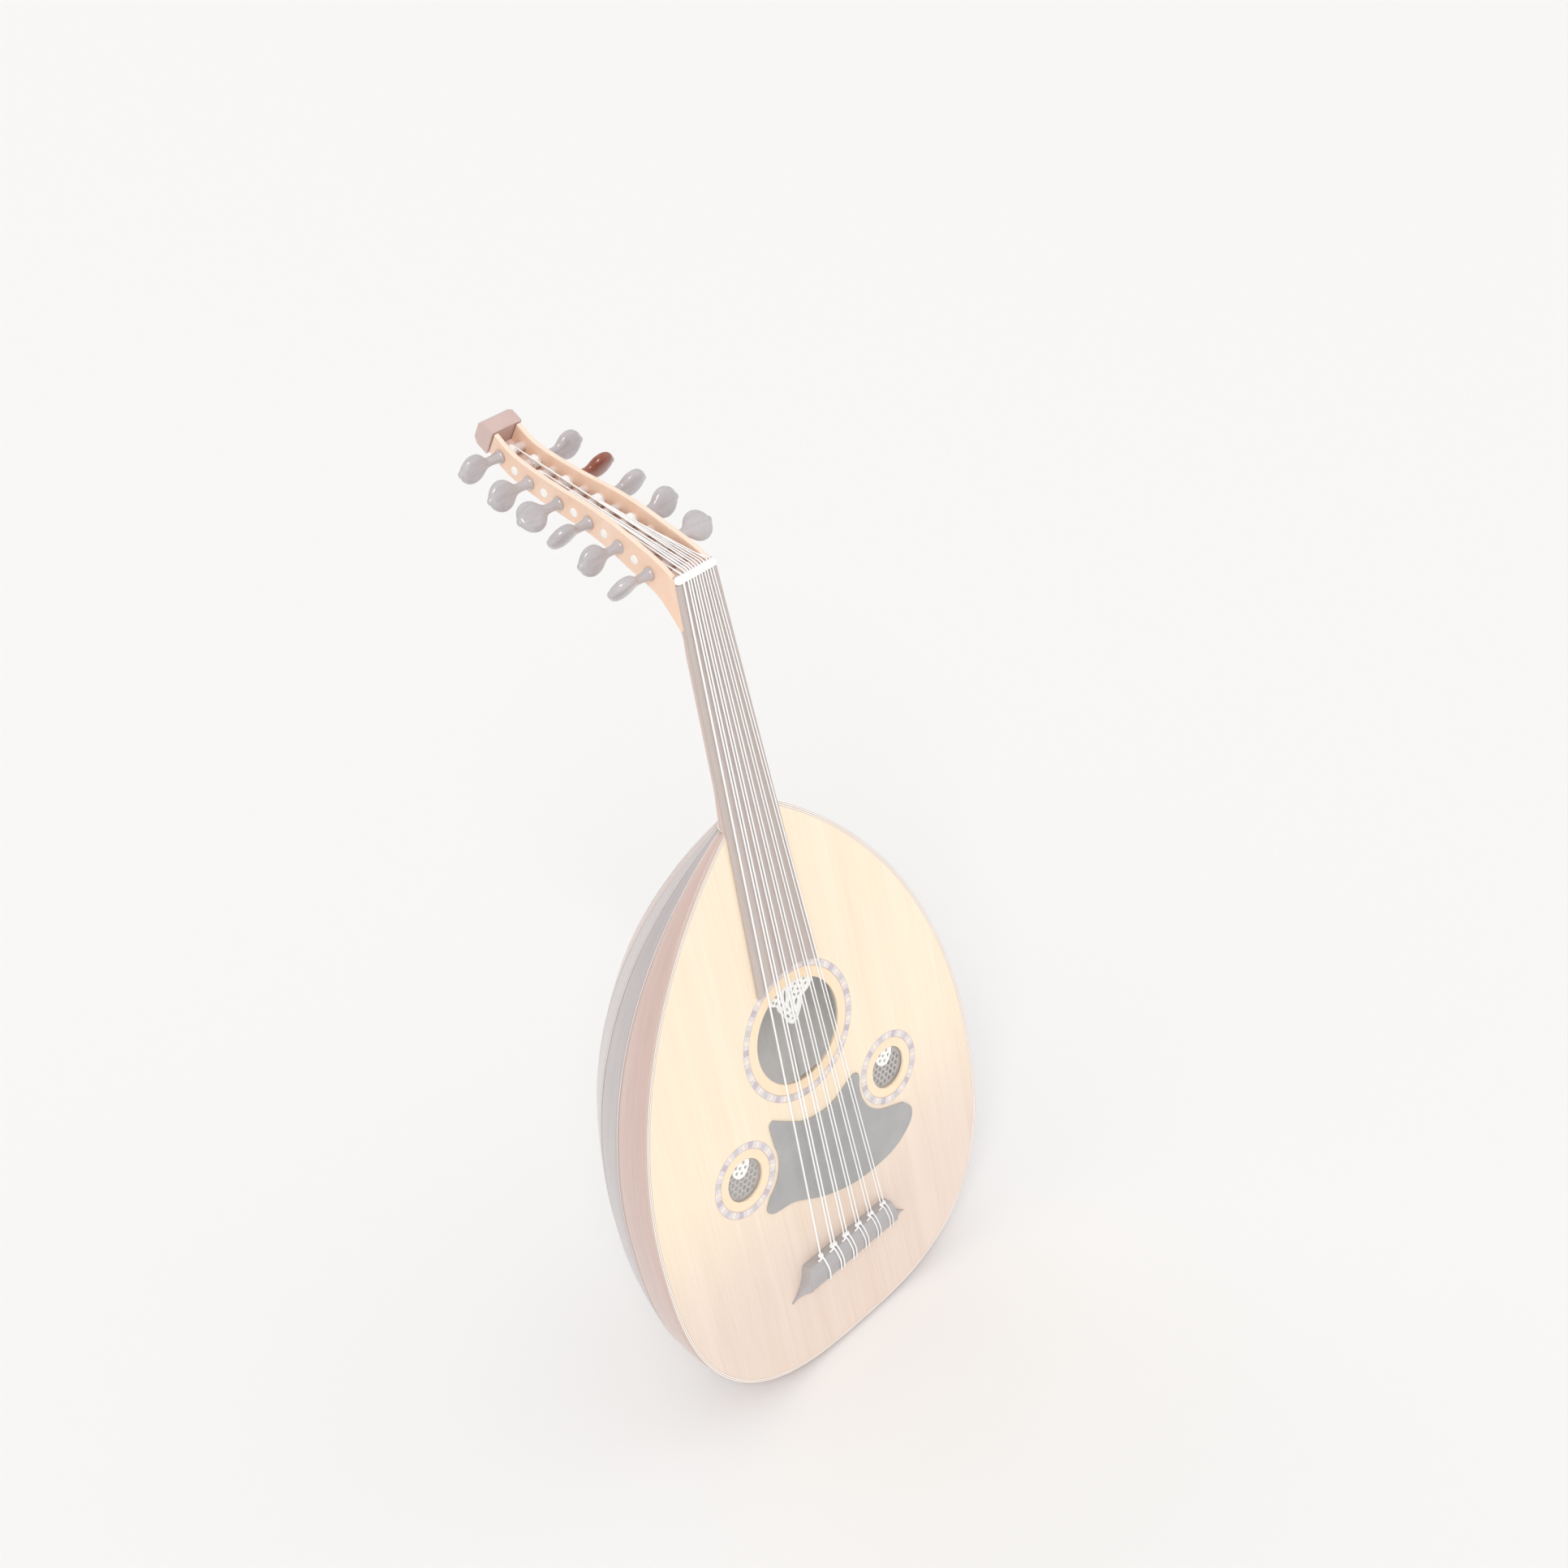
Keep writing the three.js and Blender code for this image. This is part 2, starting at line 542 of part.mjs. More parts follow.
function neck() {
  const bottom = JOINT_Z + GAP;
  const rings = [bottom, NUT_TOP_Z].map((z) => {
    const ring = [];
    const half = boardHalfWidth(z);
    for (let i = 0; i <= 20; i += 1) {
      const angle = (Math.PI * i) / 20;
      const across = Math.abs(Math.cos(angle)) ** (2 / NECK_ROUNDNESS) * Math.sign(Math.cos(angle));
      const deep = Math.sin(angle) ** (2 / NECK_ROUNDNESS);
      ring.push(vec3(half * across, neckFront(z) + GAP + neckDepth(z) * deep, z));
    }
    return ring;
  });
  const belowSeam = polygon([
    [-20, bottom - 5], [60, bottom - 5], [60, seamZ(60)], [SEAM_FRONT_Y, NUT_TOP_Z], [-20, NUT_TOP_Z],
  ]);
  const room = sidePlate(belowSeam, -FACE_HALF_WIDTH, FACE_HALF_WIDTH);
  return geometryOf(solidOf(loft(rings)).intersect(solidOf(room)));
}

function fingerboard() {
  const end = BOARD_END_RADIUS;
  const corner = Math.asin(boardHalfWidth(end) / end);
  const plan = new THREE.Shape();
  plan.moveTo(-boardHalfWidth(NUT_Z), NUT_Z - GAP);
  plan.lineTo(-boardHalfWidth(end * Math.cos(corner)), end * Math.cos(corner));
  plan.absarc(0, 0, end, Math.PI / 2 + corner, Math.PI / 2 - corner, true);
  plan.lineTo(boardHalfWidth(NUT_Z), NUT_Z - GAP);
  const side = polygon([
    [boardTop(0), 0], [-GAP, 0], [-GAP, JOINT_Z], [neckFront(NUT_Z), NUT_Z], [boardTop(NUT_Z), NUT_Z],
  ]);
  const board = solidOf(facePlate(plan, -20, 20, 16));
  return geometryOf(board.intersect(solidOf(sidePlate(side, -FACE_HALF_WIDTH, FACE_HALF_WIDTH))));
}

const NUT_CREST_Y = boardTop(NUT_Z) - NUT_RISE;
const STRING_Y_AT_NUT = NUT_CREST_Y + 0.6; // the strings lie in slots

function nut() {
  const foot = neckFront(NUT_Z);
  const side = polygon([
    [foot, NUT_Z], [foot, NUT_TOP_Z], [NUT_CREST_Y + 1.6, NUT_TOP_Z], [NUT_CREST_Y, NUT_TOP_Z - 2],
    [NUT_CREST_Y, NUT_Z + 1], [NUT_CREST_Y + 0.6, NUT_Z],
  ]);
  let bone = solidOf(sidePlate(side, -NUT_HALF_WIDTH, NUT_HALF_WIDTH));
  for (const { atNut, radius } of strings) {
    const half = radius + GAP;
    const slot = box(atNut.x - half, atNut.x + half, -20, atNut.y + half, NUT_Z - 5, NUT_TOP_Z + 5);
    bone = bone.subtract(solidOf(slot));
  }
  return geometryOf(bone);
}

// ---------------------------------------------------------------- bridge

function bridge() {
  const front = BRIDGE_FRONT_Z;
  const back = front - BRIDGE_LENGTH_Z;
  const side = polygon([
    [-GAP, back], [-GAP, front], [-BRIDGE_FRONT_HEIGHT, front],
    [-BRIDGE_RIDGE_HEIGHT + 0.4, front - BRIDGE_RIDGE_SETBACK * 0.55],
    [-BRIDGE_RIDGE_HEIGHT, front - BRIDGE_RIDGE_SETBACK],
    [-BRIDGE_RIDGE_HEIGHT + 1, front - (BRIDGE_RIDGE_SETBACK + BRIDGE_LENGTH_Z) / 2],
    [-BRIDGE_BACK_HEIGHT, back],
  ]);
  const plan = new THREE.Shape();
  plan.moveTo(-BRIDGE_HALF_FRONT, front);
  plan.quadraticCurveTo(-BRIDGE_HALF_FRONT - 2, back + 6, -BRIDGE_HALF_BACK, back + 4);
  plan.quadraticCurveTo(-BRIDGE_HALF_BACK + 6, back, -BRIDGE_HALF_FRONT - 6, back);
  plan.lineTo(BRIDGE_HALF_FRONT + 6, back);
  plan.quadraticCurveTo(BRIDGE_HALF_BACK - 6, back, BRIDGE_HALF_BACK, back + 4);
  plan.quadraticCurveTo(BRIDGE_HALF_FRONT + 2, back + 6, BRIDGE_HALF_FRONT, front);
  const elevation = new THREE.Shape(); // X and Y, seen along the neck
  elevation.moveTo(-BRIDGE_HALF_BACK - 1, 0);
  elevation.lineTo(BRIDGE_HALF_BACK + 1, 0);
  elevation.lineTo(BRIDGE_HALF_BACK + 1, -BRIDGE_TIP_HEIGHT);
  elevation.quadraticCurveTo(
    BRIDGE_HALF_FRONT + 7, -BRIDGE_TIP_HEIGHT - 1, BRIDGE_HALF_FRONT, -BRIDGE_RIDGE_HEIGHT - 1,
  );
  elevation.lineTo(-BRIDGE_HALF_FRONT, -BRIDGE_RIDGE_HEIGHT - 1);
  elevation.quadraticCurveTo(
    -BRIDGE_HALF_FRONT - 7, -BRIDGE_TIP_HEIGHT - 1, -BRIDGE_HALF_BACK - 1, -BRIDGE_TIP_HEIGHT,
  );
  const rise = new THREE.ExtrudeGeometry(elevation, {
    depth: BRIDGE_LENGTH_Z + 10, bevelEnabled: false, curveSegments: 8,
  });
  rise.translate(0, 0, back - 5);
  let body = solidOf(sidePlate(side, -BRIDGE_HALF_BACK - 5, BRIDGE_HALF_BACK + 5));
  body = body.intersect(solidOf(facePlate(plan, -40, 5, 8))).intersect(solidOf(rise));
  for (const { atBridge, radius } of strings) {
    const hole = new THREE.CylinderGeometry(
      radius + STRING_HOLE_CLEARANCE, radius + STRING_HOLE_CLEARANCE, BRIDGE_LENGTH_Z + 4, 8,
    );
    hole.rotateX(Math.PI / 2).translate(atBridge.x, atBridge.y, (front + back) / 2);
    body = body.subtract(solidOf(hole));
  }
  return geometryOf(body);
}

// ---------------------------------------------------------------- pegbox

const spine = new THREE.SplineCurve(
  PEGBOX_SPINE.map(([back, up]) => vec2(back * PEGBOX_REACH, PEGBOX_START_Z + up * PEGBOX_RISE)),
);
spine.arcLengthDivisions = 400;
const spineLength = spine.getLength();

// A place beside the spine: share of its length, and distance to the front (positive) or back
function besideSpine(share, offset) {
  const p = spine.getPointAt(share);
  const t = spine.getTangentAt(share);
  return vec2(p.x - t.y * offset, p.y + t.x * offset);
}

const spineHalfDepth = (share) => lerp(PEGBOX_HALF_DEPTH, PEGBOX_TIP_HALF_DEPTH, share);
const pegboxHalfWidth = (y) => lerp(PEGBOX_HALF_WIDTH, PEGBOX_TIP_HALF_WIDTH, y / PEGBOX_REACH);

// The band between two distances from the spine, which are functions of the share
function spineBand(from, to, front, back) {
  const steps = 22;
  const shares = Array.from({ length: steps + 1 }, (_, i) => lerp(from, to, i / steps));
  return new THREE.Shape([
    ...shares.map((share) => besideSpine(share, -back(share))),
    ...shares.reverse().map((share) => besideSpine(share, front(share))),
  ]);
}

// Everything behind the seam with the neck, in front of which the neck ends
function behindSeam() {
  const clear = GAP * 2;
  const shape = polygon([
    [SEAM_FRONT_Y + clear, NUT_TOP_Z], [60, seamZ(60) + clear], [400, seamZ(60) + clear],
    [400, 800], [SEAM_FRONT_Y + clear, 800],
  ]);
  return solidOf(sidePlate(shape, -100, 100));
}

// Moves a plate built at X = 0 out to where the pegbox's tapered side is
function taperedSideways(geometry, side, inset) {
  const position = geometry.getAttribute('position');
  for (let i = 0; i < position.count; i += 1) {
    const out = pegboxHalfWidth(position.getY(i)) - inset;
    position.setX(i, position.getX(i) + side * out);
  }
  return geometry;
}

function cheek(side) {
  const full = spineBand(0, 1, spineHalfDepth, spineHalfDepth);
  const inner = side > 0 ? -CHEEK_THICKNESS : 0;
  const plate = taperedSideways(sidePlate(full, inner, inner + CHEEK_THICKNESS), side, 0);
  let wood = solidOf(plate).intersect(behindSeam());
  for (const peg of pegs) {
    const radius = (peg.side === side ? PEG_RADIUS : PEG_END_RADIUS + 0.15) + GAP;
    const hole = new THREE.CylinderGeometry(radius, radius, 20, PEG_SEGMENTS + 4);
    hole.rotateZ(Math.PI / 2).translate(side * pegboxHalfWidth(peg.at.x), peg.at.x, peg.at.y);
    wood = wood.subtract(solidOf(hole));
  }
  return geometryOf(wood);
}

// The floor of the channel and the solid root by the neck
function pegboxBack() {
  const rootEnd = ROOT_LENGTH / spineLength;
  const floorFront = (share) => -(spineHalfDepth(share) - FLOOR_THICKNESS);
  const floor = sidePlate(spineBand(rootEnd, 1, floorFront, spineHalfDepth), -1, 1);
  const root = sidePlate(spineBand(0, rootEnd + 0.01, spineHalfDepth, spineHalfDepth), -1, 1);
  for (const geometry of [floor, root]) {
    const position = geometry.getAttribute('position');
    for (let i = 0; i < position.count; i += 1) {
      const half = pegboxHalfWidth(position.getY(i)) - CHEEK_THICKNESS - GAP;
      position.setX(i, position.getX(i) * half);
    }
  }
  const low = solidOf(box(-50, 50, -50, 100, 0, ROOT_TOP_Z));
  return geometryOf(solidOf(root).intersect(behindSeam()).intersect(low).add(solidOf(floor)));
}

// The block that closes the pegbox at its far end
function headBlock() {
  const end = spine.getPointAt(1);
  const along = spine.getTangentAt(1);
  const depth = PEGBOX_TIP_HALF_DEPTH + HEAD_BLOCK_OVERHANG;
  const cut = HEAD_BLOCK_CHAMFER;
  const section = polygon([
    [-depth, GAP], [depth, GAP], [depth, HEAD_BLOCK_LENGTH - cut], [depth - cut, HEAD_BLOCK_LENGTH],
    [-depth + cut, HEAD_BLOCK_LENGTH], [-depth, HEAD_BLOCK_LENGTH - cut],
  ]);
  const block = sidePlate(section, -HEAD_BLOCK_HALF_WIDTH, HEAD_BLOCK_HALF_WIDTH);
  block.rotateX(Math.atan2(-along.x, along.y));
  return block.translate(0, end.x, end.y);
}

// ---------------------------------------------------------------- pegs

const pegStep = (spineLength - PEG_FIRST - PEG_LAST_MARGIN) / (PEG_COUNT - 1);

const pegs = Array.from({ length: PEG_COUNT }, (_, number) => {
  const share = (PEG_FIRST + number * pegStep) / spineLength;
  return { number, share, side: number % 2 === 0 ? -1 : 1, at: besideSpine(share, -PEG_SETBACK) };
});

// Built with the head towards -X, about the X axis
function pegSolid(halfWidth) {
  const cheekFace = -halfWidth;
  const head = cheekFace - PEG_HEAD_DISTANCE;
  const neckEnd = head + PEG_HEAD_RADIUS * 0.7;
  const profile = [
    vec2(0, head), vec2(PEG_HEAD_THICKNESS * 0.4, head), vec2(PEG_HEAD_THICKNESS * 0.5, neckEnd),
    vec2(PEG_WAIST_RADIUS, (neckEnd + cheekFace) / 2 - 1), vec2(PEG_RADIUS - 0.2, cheekFace - 1.5),
    vec2(PEG_RADIUS, cheekFace - GAP), vec2(PEG_END_RADIUS, halfWidth + PEG_PROUD),
    vec2(0, halfWidth + PEG_PROUD),
  ];
  const shaft = new THREE.LatheGeometry(profile, PEG_SEGMENTS).rotateZ(-Math.PI / 2);
  const paddle = new THREE.SphereGeometry(PEG_HEAD_RADIUS, 16, 9).rotateX(Math.PI / 2);
  paddle.scale(1, PEG_HEAD_THICKNESS / 2 / PEG_HEAD_RADIUS, 1).translate(head, 0, 0);
  return geometryOf(solidOf(shaft).add(solidOf(paddle)));
}

// ---------------------------------------------------------------- strings

const PEG_SHAFT_RADIUS_MID = (PEG_RADIUS + PEG_END_RADIUS) / 2;

// String 0 is the bass on the left and string 10 is on the right. The outer strings go to the near pegs.
function pegForString(number) {
  return number <= 5 ? pegs[2 * number] : pegs[2 * (10 - number) + 1];
}

// The strings close in on the middle of the channel from peg to peg
function stringXAtPeg(number) {
  return lerp(STRING_X_AT_FIRST_PEG, STRING_X_AT_LAST_PEG, number / (PEG_COUNT - 1));
}

const strings = Array.from({ length: PEG_COUNT }, (_, number) => {
  const course = Math.ceil(number / 2);
  const sideOfPair = number === 0 ? 0 : number % 2 === 1 ? -0.5 : 0.5;
  const radius = STRING_RADII[course];
  const peg = pegForString(number);
  const standoff = PEG_SHAFT_RADIUS_MID + WINDING_THICKNESS + radius;
  const onPeg = besideSpine(peg.share, standoff - PEG_SETBACK);
  return {
    number,
    radius,
    atBridge: vec3(
      BASS_X_AT_BRIDGE + course * COURSE_STEP_AT_BRIDGE + sideOfPair * PAIR_STEP_AT_BRIDGE,
      -STRING_HEIGHT_AT_BRIDGE,
      BRIDGE_FRONT_Z,
    ),
    atNut: vec3(
      BASS_X_AT_NUT + course * COURSE_STEP_AT_NUT + sideOfPair * PAIR_STEP_AT_NUT,
      STRING_Y_AT_NUT,
      NUT_Z,
    ),
    atPeg: vec3(peg.side * stringXAtPeg(peg.number), onPeg.x, onPeg.y),
  };
});

// A route with straight stretches and rounded corners, sampled only where it bends
class StringRoute extends THREE.Curve {
  constructor(corners) {
    super();
    this.points = [corners[0]];
    for (let i = 1; i + 1 < corners.length; i += 1) {
      const [before, here, after] = [corners[i - 1], corners[i], corners[i + 1]];
      const trim = Math.min(STRING_BEND, here.distanceTo(before) / 2.2, here.distanceTo(after) / 2.2);
      const start = here.clone().lerp(before, trim / here.distanceTo(before));
      const end = here.clone().lerp(after, trim / here.distanceTo(after));
      const bend = new THREE.QuadraticBezierCurve3(start, here, end);
      this.points.push(...bend.getPoints(2));
    }
    this.points.push(corners.at(-1));
    this.steps = this.points.length - 1;
  }

  getPoint(t) {
    const at = Math.min(t * this.steps, this.steps);
    const first = Math.min(Math.floor(at), this.steps - 1);
    return this.points[first].clone().lerp(this.points[first + 1], at - first);
  }

  getUtoTmapping(u) {
    return u;
  }

  getTangent(t) {
    const at = Math.round(t * this.steps);
    const here = this.points[at];
    const direction = vec3(0, 0, 0);
    if (at > 0) direction.add(here.clone().sub(this.points[at - 1]).normalize());
    if (at < this.steps) direction.add(this.points[at + 1].clone().sub(here).normalize());
    return direction.normalize();
  }
}

// From the loop's end in front of the bridge, over it, back through it, over the nut and to the peg
function stringSolid({ radius, atBridge, atNut, atPeg }) {
  const x = atBridge.x;
  const over = radius + GAP;
  const back = BRIDGE_FRONT_Z - BRIDGE_LENGTH_Z;
  const route = new StringRoute([
    vec3(x, -STRING_HEIGHT_AT_BRIDGE - 2.4, BRIDGE_FRONT_Z + over + 0.3),
    vec3(x, -BRIDGE_FRONT_HEIGHT - over - 0.8, BRIDGE_FRONT_Z + over),
    vec3(x, -BRIDGE_RIDGE_HEIGHT - over, BRIDGE_FRONT_Z - BRIDGE_RIDGE_SETBACK),
    vec3(x, -BRIDGE_BACK_HEIGHT - over - 1.2, back - over),
    vec3(x, -STRING_HEIGHT_AT_BRIDGE, back - over - 0.4),
    atBridge.clone(),
    atNut.clone(),
    atNut.clone().setZ(NUT_TOP_Z + radius + GAP),
    atPeg,
  ]);
  const section = new THREE.Shape();
  section.moveTo(radius, 0);
  for (let i = 1; i < 8; i += 1) {
    section.lineTo(radius * Math.cos((Math.PI * i) / 4), radius * Math.sin((Math.PI * i) / 4));
  }
  return new THREE.ExtrudeGeometry(section, {
    steps: route.steps, bevelEnabled: false, extrudePath: route,
  });
}

// ---------------------------------------------------------------- assembly

const group = new THREE.Group();
const SPRUCE = { color: 0xf0dcbc, roughness: 0.55 };
const BONE = { color: 0xf4f1e6, roughness: 0.35 };
const DARK_WOOD = { color: 0x4a4340, roughness: 0.45 };
const PEGBOX_WOOD = { color: 0xd99f73, roughness: 0.5 };
const RIB_WOODS = [{ color: 0xb08a78, roughness: 0.35 }, { color: 0x8d7a76, roughness: 0.35 }];

function place(name, geometry, look) {
  geometry.computeVertexNormals();
  const mesh = new THREE.Mesh(geometry, new THREE.MeshStandardMaterial({ metalness: 0, ...look }));
  mesh.name = name;
  group.add(mesh);
  return mesh;
}

place('soundboard', soundboard(), SPRUCE);
place('edge_binding', edgeBinding(), BONE);
place('mosaic_ring_main', mosaicRing(0, 0, RING_INNER, RING_OUTER), { color: 0xa08a96, roughness: 0.4 });
place('rosette_main', mainRosette(), BONE);
for (const [name, side] of [['left', -1], ['right', 1]]) {
  const ring = mosaicRing(side * SMALL_HOLE_X, SMALL_HOLE_Z, SMALL_RING_INNER, SMALL_RING_OUTER);
  place(`mosaic_ring_${name}`, ring, { color: 0xa08a96, roughness: 0.4 });
  place(`rosette_${name}`, smallRosette(side), BONE);
  place(`pegbox_cheek_${name}`, cheek(side), PEGBOX_WOOD);
}
place('pickguard', pickguard(), DARK_WOOD);
place('bridge', bridge(), DARK_WOOD);
place('neck', neck(), { color: 0xa98876, roughness: 0.45 });
place('fingerboard', fingerboard(), DARK_WOOD);
place('nut', nut(), BONE);
place('pegbox_back', pegboxBack(), PEGBOX_WOOD);
place('head_block', headBlock(), { color: 0xc9a08c, roughness: 0.5 });
place('neck_block', neckBlock(), SPRUCE);
place('tail_block', tailBlock(), SPRUCE);
place('tail_clasp', tailClasp(), RIB_WOODS[0]);
BRACE_HEIGHTS.forEach((z, i) => place(`brace_${i + 1}`, brace(z), SPRUCE));
for (let i = 0; i < RIB_COUNT; i += 1) {
  place(`bowl_rib_${String(i + 1).padStart(2, '0')}`, rib(i), RIB_WOODS[i % 2]);
}
for (const peg of pegs) {
  const mesh = place(`peg_${String(peg.number + 1).padStart(2, '0')}`, pegSolid(pegboxHalfWidth(peg.at.x)), {
    color: 0x2b2524, roughness: 0.3,
  });
  mesh.rotation.set(radians(PEG_TURNS[peg.number]), 0, peg.side > 0 ? Math.PI : 0);
  mesh.position.set(0, peg.at.x, peg.at.y);
}
for (const string of strings) {
  place(`string_${String(string.number + 1).padStart(2, '0')}`, stringSolid(string), {
    color: 0xf2f0ea, roughness: 0.3,
  });
}

group.position.set(0, -(neckFront(CRADLE_Z) + GAP + neckDepth(CRADLE_Z)), -CRADLE_Z);

export default group;
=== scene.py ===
"""An oud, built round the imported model: every visible piece is shaped and finished here."""
import bisect
import math

import bmesh
import bpy
from mathutils import Matrix, Vector


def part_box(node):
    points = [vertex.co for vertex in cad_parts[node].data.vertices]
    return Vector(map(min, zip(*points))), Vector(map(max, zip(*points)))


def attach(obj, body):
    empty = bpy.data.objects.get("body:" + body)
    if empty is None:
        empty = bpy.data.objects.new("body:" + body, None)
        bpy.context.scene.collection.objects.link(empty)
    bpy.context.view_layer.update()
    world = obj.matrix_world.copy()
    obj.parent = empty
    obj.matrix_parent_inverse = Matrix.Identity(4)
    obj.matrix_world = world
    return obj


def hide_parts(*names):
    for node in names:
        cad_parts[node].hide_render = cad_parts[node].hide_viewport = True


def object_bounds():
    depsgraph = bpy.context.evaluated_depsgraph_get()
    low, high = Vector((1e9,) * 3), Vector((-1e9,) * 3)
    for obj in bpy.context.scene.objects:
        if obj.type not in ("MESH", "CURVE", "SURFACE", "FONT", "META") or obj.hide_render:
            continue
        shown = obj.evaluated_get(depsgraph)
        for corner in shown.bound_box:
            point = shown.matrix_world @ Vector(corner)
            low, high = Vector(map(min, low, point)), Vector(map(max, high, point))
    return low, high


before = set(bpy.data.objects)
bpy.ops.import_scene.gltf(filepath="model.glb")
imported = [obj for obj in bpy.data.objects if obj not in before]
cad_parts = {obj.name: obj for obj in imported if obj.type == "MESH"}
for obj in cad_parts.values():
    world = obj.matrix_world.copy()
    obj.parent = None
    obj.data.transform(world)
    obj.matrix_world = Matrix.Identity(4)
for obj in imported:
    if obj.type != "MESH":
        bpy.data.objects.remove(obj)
CAD_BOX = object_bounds()

# Sizes are in millimetres from the middle of the large soundhole on the front of the face:
# x to the right of someone who looks at the strings, y into the bowl, z up the neck.
MM = 0.001
GAP = 0.3
BODY = "body"
FACE_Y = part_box("soundboard")[0].y
HOLE_Z = sum(corner.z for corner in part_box("mosaic_ring_main")) / 2


def at(x, y, z):
    return Vector((x * MM, FACE_Y + y * MM, HOLE_Z + z * MM))


def lerp(a, b, share):
    return a + (b - a) * share


# Face and bowl
FACE_HALF_WIDTH = 172
WIDEST_Z = -105
TAIL_DROP = 186
TAIL_FULLNESS = 2.75
JOINT_Z = 188
JOINT_HALF_WIDTH = 25.5
FACE_THICKNESS = 2.2
RIM_Y = FACE_THICKNESS + GAP
BOWL_DEPTH_RATIO = 0.94
BOWL_NECK_FLATTENING = 0.2
BOWL_FLATTENING_REACH = 40
RIB_COUNT = 13
RIB_THICKNESS = 2.8
RIB_END_RADIUS = 10
RIB_CROWN = 0.5  # how round a rib is across: 0 is flat, 1 follows the bowl's circle
CLASP_HALF_WIDTH = 95
CLASP_DEPTH = 26
CLASP_THICKNESS = 1.5

# Soundholes
HOLE_RADIUS = 42.5
RING_INNER = 51
RING_OUTER = 56.7
SMALL_HOLE_RADIUS = 17.5
SMALL_RING_INNER = 25
SMALL_RING_OUTER = 31
SMALL_HOLE_X = 80.3
SMALL_HOLE_Z = -87.5

# Neck and bridge
NUT_Z = 377.5
NUT_TOP_Z = 383.5
NUT_Y = -2.0
BOARD_HALF_WIDTH_AT_NUT = 18.2
BOARD_WIDENING = 0.0395  # what each side gains for a millimetre towards the bowl
NECK_SLOPE = 2.2  # how much deeper the neck's front lies at the nut than at the bowl
ROUND_SHARE = 0.8  # the part of a walk round the neck that is its rounded back
# The neck is rounder where it meets the bowl, and thins just before the pegbox: z and value
NECK_ROUNDNESS = [(188, 1.1), (225, 4 / 3), (334, 4 / 3), (358, 0.7)]
NECK_DEPTH = [(188, 20.4), (225, 19.9), (318, 19.2), (356, 14)]
BRIDGE_FRONT_Z = -197
BRIDGE_LENGTH = 22
BRIDGE_BACK_Z = BRIDGE_FRONT_Z - BRIDGE_LENGTH
BRIDGE_HALF_FRONT = 48
BRIDGE_HALF_BACK = 65.5
BRIDGE_HEIGHT = 12
BRIDGE_SHOULDER = 9.5  # the height above which a section's top is rounded
WHISKER_DROP = 4
WHISKER_HEIGHT = 1.4

# Pegbox
PEGBOX_REACH = 180
PEGBOX_RISE = 104
PEGBOX_START_Z = 350
PEGBOX_SPINE = [
    (-0.03, 0), (0.075, 0.24), (0.235, 0.405), (0.435, 0.565), (0.705, 0.715), (0.9, 0.855), (1, 1),
]
PEGBOX_HALF_DEPTHS = (12.5, 9.5)  # at its foot and at its head
PEGBOX_HALF_WIDTHS = (18, 12)
CHEEK_THICKNESS = 3.8
CHEEK_EDGE = 0.8
FLOOR_THICKNESS = 3.2
ROOT_LENGTH = 37
ROOT_TOP_Z = 381.5
SEAM_FRONT = (2.5, 383.5)  # y and z of the line where the pegbox is let into the neck
SEAM_BACK = (22, 336)
FOOT_FRONT_Y = 1.95
FOOT_BLEND = [(378, 1), (402, 0)]  # z, and how much the pegbox follows the neck's width

# Pegs and strings
PEG_COUNT = 11
PEG_FIRST = 46
PEG_STEP = 16
PEG_SETBACK = 1.2
PEG_TURNS = [46, -35, 12, 5, 46, 34, -35, 40, 2, 20, 24]  # degrees
SHAFT_RADIUS = 3.75
REDDISH_PEG = 7  # the one peg that is made of another wood
STRING_RADII = [0.75, 0.68, 0.63, 0.57, 0.52, 0.5]
# x of the single bass string, the step to the next course, and the gap within a pair
AT_BRIDGE = (-32.5, 14.5, 3.4)
AT_NUT = (-13.5, 5.2, 2.4)
STRING_HEIGHT = 6.5
LOOP_SLANT = 2.2
LOOSE_ENDS = {7: (-12, -6), 3: (3, -3)}  # how far a string's spare end reaches, in x and z


# ---------------------------------------------------------------- materials


def linear(hex_colour):
    """A linear colour from an sRGB hex value."""
    parts = [int(hex_colour[i:i + 2], 16) / 255 for i in (1, 3, 5)]
    return (*(c / 12.92 if c <= 0.04045 else ((c + 0.055) / 1.055) ** 2.4 for c in parts), 1)


def add(tree, kind, values=None, tints=(), span=(0.3, 0.7), to=None, **settings):
    """A node with its settings and links. A value is a number, a colour or another node's
    output, tints are the hex colours spread over a span of a colour ramp, and to is the
    socket that the node's first output goes to."""
    node = tree.nodes.new("ShaderNode" + kind)
    for key, value in settings.items():
        setattr(node, key, value)
    for key, value in (values or {}).items():
        if isinstance(value, bpy.types.NodeSocket):
            tree.links.new(value, node.inputs[key])
        else:
            node.inputs[key].default_value = value
    if tints:
        elements = node.color_ramp.elements
        while len(elements) < len(tints):
            elements.new(0.5)
        for i, (element, tint) in enumerate(zip(elements, tints)):
            element.position = lerp(*span, i / (len(tints) - 1))
            element.color = linear(tint)
    if to:
        tree.links.new(node.outputs[0], to)
    return node


def blank(name, roughness, ior, **constants):
    """A new material, its node tree and its shader, with the constants set on the shader."""
    material = bpy.data.materials.new(name)
    material.use_nodes = True
    shader = material.node_tree.nodes["Principled BSDF"]
    shader.inputs["Roughness"].default_value = roughness
    shader.inputs["IOR"].default_value = ior
    for key, value in constants.items():
        shader.inputs[key.replace("_", " ")].default_value = value
    return material, material.node_tree, shader


